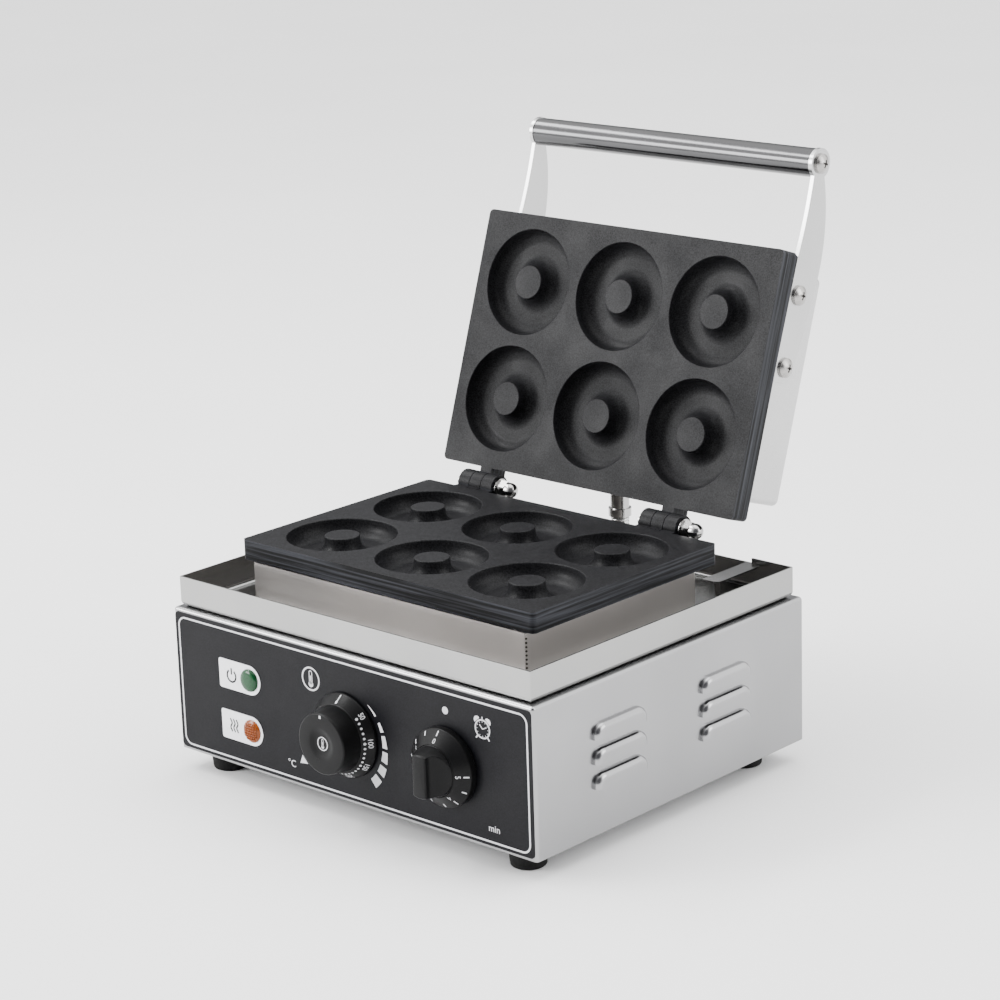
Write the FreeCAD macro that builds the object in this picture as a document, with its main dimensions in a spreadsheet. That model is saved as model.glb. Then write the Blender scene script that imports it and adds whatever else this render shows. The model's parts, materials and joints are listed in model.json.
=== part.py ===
import FreeCAD, Part
import math
import os
import re
from types import SimpleNamespace

import Sketcher

# A six-ring donut maker: a steel housing on rubber feet with a thermostat and a
# timer, a lower baking plate on a pedestal in a drip tray, and an upper baking
# plate in a hinged lid with a bar handle.
# Millimetres and degrees.  +X is to the operator's right, -Y is the front, +Z is up.
# The lid is drawn closed and then swung open about the hinge, which is how it rests.

V = FreeCAD.Vector
X_AXIS = V(1, 0, 0)
Y_AXIS = V(0, 1, 0)
Z_AXIS = V(0, 0, 1)

DIMENSIONS = [
    ("housing_width", 290, "Housing, across"),
    ("housing_depth", 240, "Housing, front to back"),
    ("housing_height", 90, "Housing, without its feet"),
    ("housing_bend", 2, "Outside bend of the housing's folded edges"),
    ("sheet_wall", 1.2, "Steel sheet of the housing and pedestal"),
    ("foot_height", 12.5, "Rubber foot, height"),
    ("foot_top_radius", 11.5, "Rubber foot, where it meets the housing"),
    ("foot_bottom_radius", 10.3, "Rubber foot, on the table"),
    ("foot_side", 122, "Feet, left and right of the middle"),
    ("foot_front", 102, "Front feet, in front of the middle"),
    ("foot_back", 93, "Rear feet, behind the middle"),
    ("louver_length", 44.5, "Pressed louver, along the side"),
    ("louver_height", 9, "Pressed louver, height"),
    ("louver_depth", 4, "Pressed louver, how far it stands out"),
    ("louver_corner", 7, "Pressed louver, radius of its upper corners"),
    ("louver_pitch", 14.6, "Louvers, one above the other"),
    ("louver_low", 28, "Lowest louver's lower edge, above the housing's underside"),
    ("louver_front_start", -72, "Front louvers' front end, from the middle"),
    ("louver_rear_start", 23, "Rear louvers' front end, from the middle"),
    ("tray_width", 282, "Drip tray, across"),
    ("tray_front", 117, "Drip tray's front, before the middle"),
    ("tray_back", 116.5, "Drip tray's back, behind the middle"),
    ("tray_height", 19, "Drip tray, height"),
    ("tray_wall", 1, "Drip tray, sheet"),
    ("tray_bend", 4, "Drip tray, outside bend at its floor"),
    ("tray_dip", 3, "How far the tray's rear wall is cut down in the middle"),
    ("strap_width", 11.5, "Tray strap, width"),
    ("strap_inner", 107, "Tray strap's inner edge, from the middle"),
    ("strap_reach", 42, "Tray strap, from the rear wall forwards"),
    ("pedestal_width", 220, "Pedestal, across"),
    ("pedestal_front", 85.5, "Pedestal's front, before the middle"),
    ("pedestal_back", 63.5, "Pedestal's back, behind the middle"),
    ("pedestal_height", 25.7, "Pedestal, above the housing's deck"),
    ("pedestal_flange", 5, "Pedestal's inward top flange"),
    ("plate_gap", 1.3, "Gap between the pedestal and the lower plate"),
    ("plate_width", 234, "Baking plate, across"),
    ("plate_depth", 162, "Baking plate, front to back"),
    ("plate_back", 75, "Baking plates' rear edge, behind the middle"),
    ("plate_corner", 3, "Baking plate, radius of its upright corners"),
    ("lower_plate_thickness", 12.5, "Lower baking plate"),
    ("upper_plate_thickness", 14, "Upper baking plate"),
    ("parting_gap", 0.3, "Gap between the closed plates"),
    ("ring_pitch", 74.5, "Ring moulds, centre to centre, both ways"),
    ("ring_offset", 1.25, "Middle of the ring moulds, before the plate's middle"),
    ("ring_outer", 33.5, "Ring mould, outer radius"),
    ("ring_inner", 10.6, "Ring mould, radius of the centre post"),
    ("ring_depth", 11, "Ring mould, depth"),
    ("ring_draft", 0.8, "Ring mould, how far its walls lean"),
    ("ring_corner", 8, "Ring mould, radius where its walls meet its floor"),
    ("ring_pad", 1.2, "Cast pad under a lower ring mould, thickness"),
    ("ring_pad_radius", 26, "Cast pad under a lower ring mould, radius"),
    ("ring_edge", 0.5, "Ring mould, rounding of its edges"),
    ("hinge_offset", 11, "Hinge axis, behind the plates' rear edge"),
    ("hinge_left_start", -94, "Left hinge's outer face, from the middle"),
    ("hinge_right_start", 54.5, "Right hinge's inner face, from the middle"),
    ("lug_width", 9, "Hinge lug, width"),
    ("lug_gap", 0.5, "Gap between two hinge lugs"),
    ("lug_radius", 8, "Hinge lug, outer radius"),
    ("heel_gap", 0.2, "Gap between the open lid's stop heel and the lower plate"),
    ("heel_thickness", 6, "The open lid's stop heel, thickness"),
    ("bolt_radius", 3, "Hinge bolt, shank radius"),
    ("bolt_clearance", 0.06, "Running clearance round the hinge bolt"),
    ("bolt_head", 3, "Hinge bolt, head height"),
    ("washer_thickness", 1.6, "Hinge washer"),
    ("nut_flat", 6, "Acorn nut, height of its hexagon"),
    ("nut_across", 11, "Acorn nut, across the corners"),
    ("nut_dome", 4.8, "Acorn nut, radius of its dome"),
    ("open_angle", 108.6, "How far the lid stands open at rest"),
    ("cover_width", 219, "Lid cover, across"),
    ("cover_start", 22.5, "Lid cover's rear edge, in front of the hinge axis"),
    ("cover_length", 140, "Lid cover, front to back"),
    ("cover_top", 54.5, "Lid cover's top, above the parting plane"),
    ("cover_bend", 4, "Lid cover, outside bend of its top edges"),
    ("arm_thickness", 2.5, "Handle arm, thickness"),
    ("arm_boss", 9.2, "Handle arm, radius round the bar"),
    ("arm_foot", 96.2, "Handle arm's lower end, in front of the hinge axis"),
    ("arm_low", 20.5, "Handle arm's lower edge on the cover, above the parting plane"),
    ("arm_rise", 24.8, "Handle arm's widest place, above its lower edge"),
    ("bar_reach", 228.4, "Handle bar's axis, in front of the hinge axis"),
    ("bar_rise", 26.3, "Handle bar's axis, above the parting plane"),
    ("bar_radius", 8.75, "Handle bar, outer radius"),
    ("bar_wall", 1.2, "Handle bar, tube wall"),
    ("screw_radius", 3, "Cover and bar screws, shank radius"),
    ("screw_head", 6, "Cover and bar screws, head radius"),
    ("screw_near", 105.5, "Arm's lower screw, in front of the hinge axis"),
    ("screw_far", 149.3, "Arm's upper screw, in front of the hinge axis"),
    ("screw_rise", 29.4, "Arm's screws, above the parting plane"),
    ("panel_margin", 1.5, "Bare steel round the control panel"),
    ("panel_thickness", 0.4, "Control panel overlay"),
    ("knob_height", 41.5, "Knob axes, above the housing's underside"),
    ("temperature_side", 0, "Temperature knob's axis, from the middle"),
    ("timer_side", 79.5, "Timer knob's axis, from the middle"),
    ("shaft_radius", 3, "Knob shafts"),
    ("knob_gap", 0.6, "Gap between a knob and the panel"),
    ("temperature_rim", 25.5, "Temperature knob, rim radius"),
    ("temperature_hub", 19.8, "Temperature knob, hub radius"),
    ("temperature_cap", 18.5, "Temperature knob, radius of its face"),
    ("temperature_stand", 20.5, "Temperature knob's face, from the panel"),
    ("timer_rim", 23.2, "Timer knob, rim radius"),
    ("timer_hub", 14.7, "Timer knob, hub radius"),
    ("timer_grip_width", 9.8, "Timer knob, width of its grip"),
    ("timer_grip_length", 25.6, "Timer knob, length of its grip"),
    ("timer_stand", 23, "Timer knob's face, from the panel"),
    ("lamp_side", -80, "Lamps' axis, from the middle"),
    ("power_lamp_height", 57, "Power lamp, above the housing's underside"),
    ("heat_lamp_height", 25, "Heating lamp, above the housing's underside"),
    ("lamp_radius", 7, "Lamp lens"),
    ("lamp_body_radius", 5.5, "Lamp body behind the panel"),
    ("label_length", 35.4, "Lamp label, across"),
    ("label_radius", 9.2, "Lamp label, half its height"),
    ("label_thickness", 0.3, "Lamp label"),
    ("element_radius", 3.25, "Tubular heating element"),
    ("element_clearance", 1.5, "Gap between an element and the plate's pads"),
    ("reflector_gap", 2, "Gap between an element and its reflector"),
    ("reflector_thickness", 1, "Heat reflector, sheet"),
    ("reflector_inset", 12, "Heat reflector's edge, inside the lid cover's outline"),
    ("insulation_thickness", 8, "Insulation board"),
    ("stud_radius", 1.5, "Studs that hold a reflector to its plate"),
    ("stud_reach", 50, "Studs, in front of and behind the middle of the ring moulds"),
    ("bulb_radius", 3, "Thermostat bulb, radius"),
    ("bulb_length", 60, "Thermostat bulb, length"),
    ("hose_radius", 6, "Lead hose to the lid"),
    ("hose_side", -3.5, "Lead hose, from the middle"),
    ("hose_exit_rise", 38, "Lead hose's place on the cover, above the parting plane"),
    ("hose_gland_side", -95, "Lead hose's gland on the rear panel, from the middle"),
    ("hose_gland_height", 40, "Lead hose's gland on the rear panel, above its underside"),
    ("nipple_length", 32, "Smooth end tube of the lead hose"),
    ("mains_side", 95, "Mains gland, from the middle"),
    ("mains_height", 24, "Mains gland, above the housing's underside"),
    ("gland_radius", 8.5, "Cable glands, nut radius"),
    ("gland_length", 12, "Cable glands, from the rear panel"),
]

doc = FreeCAD.newDocument("DonutMaker")
sheet = doc.addObject("Spreadsheet::Sheet", "Sizes")
for row, (alias, value, note) in enumerate(DIMENSIONS, 1):
    sheet.set("A%d" % row, note)
    sheet.set("B%d" % row, str(value))
    sheet.setAlias("B%d" % row, alias)
doc.recompute()
s = SimpleNamespace(**{alias: float(sheet.get(alias)) for alias, _, _ in DIMENSIONS})

# Levels and lines that several pieces share
DECK = s.foot_height + s.housing_height
PARTING = DECK + s.pedestal_height + s.plate_gap + s.lower_plate_thickness
PLATE_FRONT = s.plate_back - s.plate_depth
HINGE_Y = s.plate_back + s.hinge_offset
FRONT_FACE = -s.housing_depth / 2
REAR_FACE = s.housing_depth / 2
COVER_BACK = HINGE_Y - s.cover_start
COVER_FRONT = COVER_BACK - s.cover_length
COVER_LOW = s.upper_plate_thickness
RING_Y = (PLATE_FRONT + s.plate_back) / 2 - s.ring_offset

# The lead hose drops straight from the lid, then hangs behind the housing and sweeps left
HOSE_DROP = 17.7
HOSE_POINTS = [
    (-6.5, 136, 85),
    (-16, 148, 67),
    (-32, 161.5, 56),
    (-54, 170, 51.5),
    (-77.5, 170, 52),
    (-95, 155, 52.5),
]

HOSE_GAP = 0.1

THERMOSTAT_SIZE = (44, 36, 36)
TIMER_SIZE = (44, 34, 44)

pieces = {}
lid_pieces = []


def formula(text):
    """Turn a formula written with the sheet's words into an expression."""
    return re.sub(r"[a-z]\w*", lambda word: "Sizes." + word.group(0), str(text))


def bind(item, **sizes):
    """Tie an item's sizes to the sheet."""
    for name, text in sizes.items():
        item.setExpression(name, formula(text))


def keep(label, item, lid=False):
    """Name a finished piece and list it for writing."""
    item.Label = label
    pieces[label] = item
    if lid:
        lid_pieces.append(label)
    return item


def block(length, width, height, low, name="block"):
    item = doc.addObject("Part::Box", name)
    bind(item, Length=length, Width=width, Height=height)
    item.Placement.Base = V(*low)
    return item


def rod(radius, height, base, direction=Z_AXIS, name="rod"):
    item = doc.addObject("Part::Cylinder", name)
    bind(item, Radius=radius, Height=height)
    item.Placement = FreeCAD.Placement(V(*base), FreeCAD.Rotation(Z_AXIS, direction))
    return item


def cone(low_radius, high_radius, height, base, direction=Z_AXIS, name="cone"):
    item = doc.addObject("Part::Cone", name)
    bind(item, Radius1=low_radius, Radius2=high_radius, Height=height)
    item.Placement = FreeCAD.Placement(V(*base), FreeCAD.Rotation(Z_AXIS, direction))
    return item


def ball(radius, centre, name="ball"):
    item = doc.addObject("Part::Sphere", name)
    bind(item, Radius=radius)
    item.Placement.Base = V(*centre)
    return item


def hexagon(radius, height, base, direction, name="hexagon"):
    item = doc.addObject("Part::Prism", name)
    bind(item, Circumradius=radius, Height=height)
    item.Polygon = 6
    item.Placement = FreeCAD.Placement(V(*base), FreeCAD.Rotation(Z_AXIS, direction))
    return item


def fuse(parts, name="fuse"):
    item = doc.addObject("Part::MultiFuse", name)
    item.Shapes = parts
    item.Refine = True
    return item


def cut(base, tools, name="cut"):
    item = doc.addObject("Part::Cut", name)
    item.Base = base
    item.Tool = tools[0] if len(tools) == 1 else fuse(tools, name + "_tools")
    item.Refine = True
    return item


def common(first, second, name="common"):
    item = doc.addObject("Part::Common", name)
    item.Base = first
    item.Tool = second
    return item


def group(parts, name="group"):
    item = doc.addObject("Part::Compound", name)
    item.Links = parts
    return item


def mirrored(item, normal=X_AXIS, name="mirrored"):
    twin = doc.addObject("Part::Mirroring", name)
    twin.Source = item
    twin.Normal = normal
    twin.Base = V(0, 0, 0)
    return twin


def rounded(item, radius, wanted, name="rounded"):
    """Fillet the straight and round edges of an item that wanted() picks."""
    doc.recompute()
    item_edges = item.Shape.Edges
    picked = [number for number, edge in enumerate(item_edges, 1) if wanted(edge)]
    soft = doc.addObject("Part::Fillet", name)
    soft.Base = item
    soft.Edges = [(number, radius, radius) for number in picked]
    return soft


def along(edge, axis):
    """Is this edge a straight one that runs along the axis?"""
    if not isinstance(edge.Curve, Part.Line):
        return False
    return abs(edge.tangentAt(edge.FirstParameter).dot(axis)) > 0.999


def near(value, target):
    return abs(value - target) < 0.01


# ---------------------------------------------------------------- housing

def louver(start, low, skin):
    """One pressed hood, or with skin, the hollow under it that opens downwards."""
    length = s.louver_length - 2 * skin
    height = s.louver_height - skin
    corner = s.louver_corner - skin
    face = s.housing_width / 2 + s.louver_depth - skin
    inner = s.housing_width / 2 - (s.sheet_wall + 1 if skin else s.sheet_wall / 2)
    hood = doc.addObject("Part::Box", "hood")
    hood.Length = face - inner
    hood.Width = length
    hood.Height = height
    hood.Placement.Base = V(inner, start + skin, low)
    hood = rounded(hood, corner, lambda edge: along(edge, X_AXIS)
                   and near(edge.CenterOfMass.z, low + height))
    bend = s.louver_depth - skin - 0.4
    return rounded(hood, bend, lambda edge: near(edge.BoundBox.XMin, face)
                   and edge.BoundBox.ZMax > low + 0.01)


def build_housing():
    half = s.housing_width / 2
    outer = block("housing_width", "housing_depth", "housing_height",
                  (-half, FRONT_FACE, s.foot_height), "housing_outer")
    outer = rounded(outer, s.housing_bend, lambda edge:
                    (near(edge.CenterOfMass.z, DECK) and not near(edge.CenterOfMass.y, REAR_FACE))
                    or (along(edge, Z_AXIS) and near(edge.CenterOfMass.y, FRONT_FACE)))
    inner = block("housing_width - 2 * sheet_wall", "housing_depth", "housing_height",
                  (-half + s.sheet_wall, FRONT_FACE + s.sheet_wall,
                   s.foot_height - s.sheet_wall), "housing_inner")
    passage = block("pedestal_width - 30", "(pedestal_front + pedestal_back) - 30",
                    "4 * sheet_wall",
                    (-s.pedestal_width / 2 + 15, -s.pedestal_front + 15,
                     DECK - 3 * s.sheet_wall), "heat_passage")
    levels = [s.foot_height + s.louver_low + step * s.louver_pitch for step in range(3)]
    starts = [s.louver_front_start, s.louver_rear_start]
    hoods = fuse([louver(start, low, 0) for start in starts for low in levels], "hoods")
    hollows = fuse([louver(start, low, 1) for start in starts for low in levels], "hollows")
    shell = cut(outer, [inner, passage], "folded_shell")
    shell = fuse([shell, hoods, mirrored(hoods)], "shell_with_hoods")
    holes = [rod("shaft_radius + 1.5", "3 * sheet_wall",
                 (side, FRONT_FACE - s.sheet_wall, s.foot_height + s.knob_height), Y_AXIS)
             for side in (s.temperature_side, s.timer_side)]
    holes += [rod("lamp_body_radius + 0.2", "3 * sheet_wall",
                  (s.lamp_side, FRONT_FACE - s.sheet_wall, s.foot_height + height), Y_AXIS)
              for height in (s.power_lamp_height, s.heat_lamp_height)]
    keep("housing_shell", cut(shell, [hollows, mirrored(hollows)] + holes, "housing"))


def vent_slots(low, count, pitch, length, slot, thickness, flat):
    """A row of slots through a sheet that lies flat or stands up."""
    slots = []
    for number in range(count):
        x = low[0] + number * pitch
        if flat:
            slots.append(block(slot, length, thickness, (x, low[1], low[2])))
        else:
            slots.append(block(slot, thickness, length, (x, low[1], low[2])))
    return slots


def build_housing_sheets():
    fit = 0.2
    inside = s.housing_width / 2 - s.sheet_wall - fit
    bottom = block("housing_width - 2 * sheet_wall - 0.4", "housing_depth - 2 * sheet_wall - 0.4",
                   "sheet_wall", (-inside, FRONT_FACE + s.sheet_wall + fit, s.foot_height),
                   "bottom_sheet")
    slots = []
    for row in (-45, 5):
        slots += vent_slots((-60, row, s.foot_height - 1), 13, 10, 40, 4, 4, True)
    slots += [rod(2.2, 4, (x, y, s.foot_height - 1)) for x, y in foot_places()]
    keep("bottom_plate", cut(bottom, slots, "bottom_plate_cut"))
    rear = block("housing_width - 2 * sheet_wall - 0.4", "sheet_wall",
                 "housing_height - sheet_wall - 0.4",
                 (-inside, REAR_FACE - s.sheet_wall, s.foot_height + fit), "rear_sheet")
    holes = [rod("hose_radius", 6, (s.hose_gland_side, REAR_FACE - 3,
                                    s.foot_height + s.hose_gland_height), Y_AXIS),
             rod("hose_radius", 6, (s.mains_side, REAR_FACE - 3,
                                    s.foot_height + s.mains_height), Y_AXIS)]
    for row in (53, 70):
        holes += vent_slots((-129, REAR_FACE - 3, s.foot_height + row), 10, 7, 12, 3, 6, False)
        holes += vent_slots((33, REAR_FACE - 3, s.foot_height + row), 12, 7, 12, 3, 6, False)
    holes += [rod(1.7, 6, (x, REAR_FACE - 3, z), Y_AXIS) for x, z in panel_screw_places()]
    keep("rear_panel", cut(rear, holes, "rear_panel_cut"))


def panel_screw_places():
    side = s.housing_width / 2 - 10
    low, high = s.foot_height + 10, DECK - 12
    return [(-side, low), (side, low), (-side, high), (side, high)]


def foot_places():
    return [(side * s.foot_side, y) for y in (-s.foot_front, s.foot_back) for side in (-1, 1)]


def build_feet():
    names = ("foot_front_left", "foot_front_right", "foot_rear_left", "foot_rear_right")
    screws = []
    for name, (x, y) in zip(names, foot_places()):
        rubber = cone("foot_bottom_radius", "foot_top_radius", "foot_height", (x, y, 0))
        rubber = rounded(rubber, 1.5, lambda edge: near(edge.CenterOfMass.z, 0)
                         and isinstance(edge.Curve, Part.Circle))
        recess = rod(4.5, 6, (x, y, -1))
        bore = rod(2.2, "foot_height + 2", (x, y, -1))
        keep(name, cut(rubber, [recess, bore], name + "_cut"))
        head = rod(4, 2, (x, y, 3))
        shank = rod(2, "foot_height", (x, y, 4))
        screws.append(fuse([head, shank], "foot_screw"))
    keep("foot_screws", group(screws, "foot_screw_set"))


def build_rear_screws():
    screws = []
    for x, z in panel_screw_places():
        head = rod(3, 1.6, (x, REAR_FACE, z), Y_AXIS)
        shank = rod(1.5, 8, (x, REAR_FACE - 7, z), Y_AXIS)
        screws.append(fuse([head, shank], "rear_screw"))
    keep("rear_panel_screws", group(screws, "rear_screw_set"))


# ---------------------------------------------------------------- tray and pedestal

def build_tray():
    half = s.tray_width / 2
    outer = block("tray_width", "tray_front + tray_back", "tray_height",
                  (-half, -s.tray_front, DECK), "tray_outer")
    outer = rounded(outer, s.tray_bend, lambda edge: near(edge.CenterOfMass.z, DECK))
    inner = block("tray_width - 2 * tray_wall", "tray_front + tray_back - 2 * tray_wall",
                  "tray_height", (-half + s.tray_wall, -s.tray_front + s.tray_wall,
                                  DECK + s.tray_wall), "tray_inner")
    inner = rounded(inner, s.tray_bend - s.tray_wall,
                    lambda edge: near(edge.CenterOfMass.z, DECK + s.tray_wall))
    opening = block("pedestal_width + 1", "pedestal_front + pedestal_back + 1",
                    "4 * tray_wall", (-s.pedestal_width / 2 - 0.5, -s.pedestal_front - 0.5,
                                      DECK - s.tray_wall), "tray_opening")
    dip = block("pedestal_width + 2", 12, "tray_height",
                (-s.pedestal_width / 2 - 1, s.tray_back - 6,
                 DECK + s.tray_height - s.tray_dip), "rear_dip")
    keep("drip_tray", cut(outer, [inner, opening, dip], "drip_tray_cut"))
    strap_back = s.tray_back - s.tray_wall
    top = DECK + s.tray_height - s.tray_dip
    for name, side in (("tray_strap_left", -1), ("tray_strap_right", 1)):
        low_x = s.strap_inner if side > 0 else -s.strap_inner - s.strap_width
        flat = block("strap_width", "strap_reach", "tray_wall",
                     (low_x, strap_back - s.strap_reach, top - s.tray_wall), "strap_flat")
        outer_x = s.strap_inner + s.strap_width
        flat = rounded(flat, 4, lambda edge, at=outer_x: along(edge, Z_AXIS)
                       and near(abs(edge.CenterOfMass.x), at))
        leg_x = s.pedestal_width / 2 + 1.5 if side > 0 else -s.pedestal_width / 2 - 5.5
        leg = block(4, "tray_wall", "tray_height - tray_dip - tray_wall",
                    (leg_x, strap_back - s.strap_reach + 6, DECK + s.tray_wall), "strap_leg")
        keep(name, fuse([flat, leg], name + "_fuse"))


def build_pedestal():
    half = s.pedestal_width / 2
    outer = block("pedestal_width", "pedestal_front + pedestal_back", "pedestal_height",
                  (-half, -s.pedestal_front, DECK), "pedestal_outer")
    outer = rounded(outer, 1.5, lambda edge: along(edge, Z_AXIS))
    inner = block("pedestal_width - 2 * sheet_wall",
                  "pedestal_front + pedestal_back - 2 * sheet_wall", "pedestal_height",
                  (-half + s.sheet_wall, -s.pedestal_front + s.sheet_wall,
                   DECK - s.sheet_wall), "pedestal_inner")
    mouth = block("pedestal_width - 2 * sheet_wall - 2 * pedestal_flange",
                  "pedestal_front + pedestal_back - 2 * sheet_wall - 2 * pedestal_flange",
                  "pedestal_height + 2",
                  (-half + s.sheet_wall + s.pedestal_flange,
                   -s.pedestal_front + s.sheet_wall + s.pedestal_flange, DECK - 1),
                  "pedestal_mouth")
    keep("pedestal", cut(outer, [inner, mouth], "pedestal_cut"))


# ---------------------------------------------------------------- baking plates and hinges

def ring_places():
    return [(column * s.ring_pitch, RING_Y + row * s.ring_pitch / 2)
            for row in (-1, 1) for column in (-1, 0, 1)]


def hinge_starts():
    return (s.hinge_left_start, s.hinge_right_start)


def lug_low(start, number):
    return start + number * (s.lug_width + s.lug_gap)


def lug(start, number, rise, thickness):
    """A hinge lug: an eye on the axis and a web to the plate's rear edge."""
    x = lug_low(start, number)
    eye = rod("lug_radius", "lug_width", (x, HINGE_Y, PARTING), X_AXIS, "eye")
    low = PARTING + (rise if rise > 0 else -thickness)
    web = block("lug_width", "hinge_offset + 1", thickness - abs(rise),
                (x, s.plate_back - 1, low), "web")
    return [eye, web]


def floor_edges(depth, centre, inward):
    """Pick the round edges at the far end of a mould."""
    level = centre[2] + inward.z * depth
    return lambda edge: isinstance(edge.Curve, Part.Circle) and near(edge.CenterOfMass.z, level)


def ring_groove(centre, inward):
    """The hollow of one ring mould: sloping walls that round into a flat floor."""
    outer = cone("ring_outer", "ring_outer - ring_draft", "ring_depth", centre, inward)
    post = cone("ring_inner", "ring_inner + ring_draft", "ring_depth", centre, inward)
    hollow = cut(outer, [post], "groove_blank")
    return rounded(hollow, s.ring_corner, floor_edges(s.ring_depth, centre, inward), "groove")


def plate(name, thickness_name, upper):
    """A cast plate with six ring moulds, and thickened under them where it is thin."""
    thickness = getattr(s, thickness_name)
    gap = s.parting_gap / 2
    side = 1 if upper else -1
    face = PARTING + side * gap
    low = face if upper else face - thickness + gap
    slab = block("plate_width", "plate_depth", thickness_name + " - parting_gap / 2",
                 (-s.plate_width / 2, PLATE_FRONT, low), name + "_slab")
    slab = rounded(slab, s.plate_corner, lambda edge: along(edge, Z_AXIS))
    grooves = [ring_groove((x, y, face), Z_AXIS * side) for x, y in ring_places()]
    pads = []
    if not upper:
        pads = [rod("ring_pad_radius", "ring_pad", (x, y, low - s.ring_pad))
                for x, y in ring_places()]
    body = fuse([slab] + pads, name + "_cast") if pads else slab
    numbers = (1,) if upper else (0, 2)
    parts = [body]
    for start in hinge_starts():
        for number in numbers:
            parts += lug(start, number, side * gap, thickness)
            if upper:
                parts.append(stop_heel(start, number))
    body = fuse(parts, name + "_with_lugs")
    bore = "bolt_radius + bolt_clearance" if upper else "bolt_radius + bolt_clearance / 2"
    bores = [rod(bore, "3 * lug_width + 2 * lug_gap + 2", (start - 1, HINGE_Y, PARTING), X_AXIS)
             for start in hinge_starts()]
    body = cut(body, grooves + bores, name + "_moulds")
    return rounded(body, s.ring_edge, lambda edge: isinstance(edge.Curve, Part.Circle)
                   and near(edge.CenterOfMass.z, face)
                   and (near(edge.Curve.Radius, s.ring_outer)
                        or near(edge.Curve.Radius, s.ring_inner)), name)


def stop_heel(start, number):
    """The upper lug's heel, which meets the lower plate's rear edge when the lid is open."""
    reach = s.hinge_offset - s.heel_gap
    heel = block("lug_width", "hinge_offset - heel_gap", "heel_thickness", (0, 0, 0), "heel")
    turn = FreeCAD.Rotation(X_AXIS, s.open_angle)
    low = turn.multVec(V(0, -reach, -s.heel_thickness))
    heel.Placement = FreeCAD.Placement(
        V(lug_low(start, number), HINGE_Y + low.y, PARTING + low.z), turn)
    return heel


def build_plates():
    keep("lower_plate", plate("lower_plate", "lower_plate_thickness", False))
    keep("upper_plate", plate("upper_plate", "upper_plate_thickness", True), lid=True)


def build_hinge_hardware():
    nuts = []
    washers = []
    span = 3 * s.lug_width + 2 * s.lug_gap
    for name, start in zip(("hinge_bolt_left", "hinge_bolt_right"), hinge_starts()):
        head = rod(5, "bolt_head", (start - s.bolt_head, HINGE_Y, PARTING), X_AXIS)
        shank = rod("bolt_radius", "3 * lug_width + 2 * lug_gap + washer_thickness + nut_flat",
                    (start, HINGE_Y, PARTING), X_AXIS)
        keep(name, fuse([head, shank], name + "_fuse"))
        end = start + span
        ring_disc = rod(6.2, "washer_thickness", (end, HINGE_Y, PARTING), X_AXIS)
        hole = rod("bolt_radius + 0.05", 4, (end - 1, HINGE_Y, PARTING), X_AXIS)
        washers.append(cut(ring_disc, [hole], "washer"))
        seat = end + s.washer_thickness
        body = hexagon("nut_across / 2", "nut_flat", (seat, HINGE_Y, PARTING), X_AXIS)
        neck = rod("nut_dome", 2, (seat + s.nut_flat, HINGE_Y, PARTING), X_AXIS)
        dome = ball("nut_dome", (seat + s.nut_flat + 2, HINGE_Y, PARTING))
        thread = rod("bolt_radius + 0.05", "nut_flat + 2", (seat - 1, HINGE_Y, PARTING), X_AXIS)
        nuts.append(cut(fuse([body, neck, dome]), [thread], "acorn_nut"))
    keep("hinge_washers", group(washers, "washer_set"))
    keep("hinge_nuts", group(nuts, "nut_set"))


# ---------------------------------------------------------------- lid

def lid_opening():
    """The turn that takes the lid from closed to where it rests."""
    return FreeCAD.Placement(V(0, 0, 0), FreeCAD.Rotation(X_AXIS, -s.open_angle),
                             V(0, HINGE_Y, PARTING))


def nipple_seat():
    """Where the lead hose's end tube leaves the closed cover."""
    return V(s.hose_side, COVER_BACK, PARTING + s.hose_exit_rise)


def nipple_direction():
    """The end tube's direction on the closed lid: it hangs straight down on the open one."""
    return lid_opening().inverse().Rotation.multVec(-Z_AXIS)


def lid_point(x, reach, rise):
    """A place on the closed lid, by its reach from the hinge and rise from the plates."""
    return V(x, HINGE_Y - reach, PARTING + rise)


def build_cover():
    half = s.cover_width / 2
    low = PARTING + COVER_LOW
    outer = block("cover_width", "cover_length", "cover_top - upper_plate_thickness",
                  (-half, COVER_FRONT, low), "cover_outer")
    top = PARTING + s.cover_top
    outer = rounded(outer, s.cover_bend, lambda edge: near(edge.CenterOfMass.z, top)
                    or along(edge, Z_AXIS))
    inner = block("cover_width - 2 * sheet_wall", "cover_length - 2 * sheet_wall",
                  "cover_top - upper_plate_thickness",
                  (-half + s.sheet_wall, COVER_FRONT + s.sheet_wall, low - s.sheet_wall),
                  "cover_inner")
    inner = rounded(inner, s.cover_bend - s.sheet_wall, lambda edge: along(edge, Z_AXIS)
                    or near(edge.CenterOfMass.z, top - s.sheet_wall))
    outward = nipple_direction()
    exit_hole = rod("hose_radius + 0.05", 20, nipple_seat() - outward * 10, outward)
    screw_holes = [rod("screw_radius + 0.1", "cover_width + 10",
                       (-half - 5, HINGE_Y - reach, PARTING + s.screw_rise), X_AXIS)
                   for reach in (s.screw_near, s.screw_far)]
    keep("lid_cover", cut(outer, [inner, exit_hole] + screw_holes, "lid_cover_cut"), lid=True)


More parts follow.
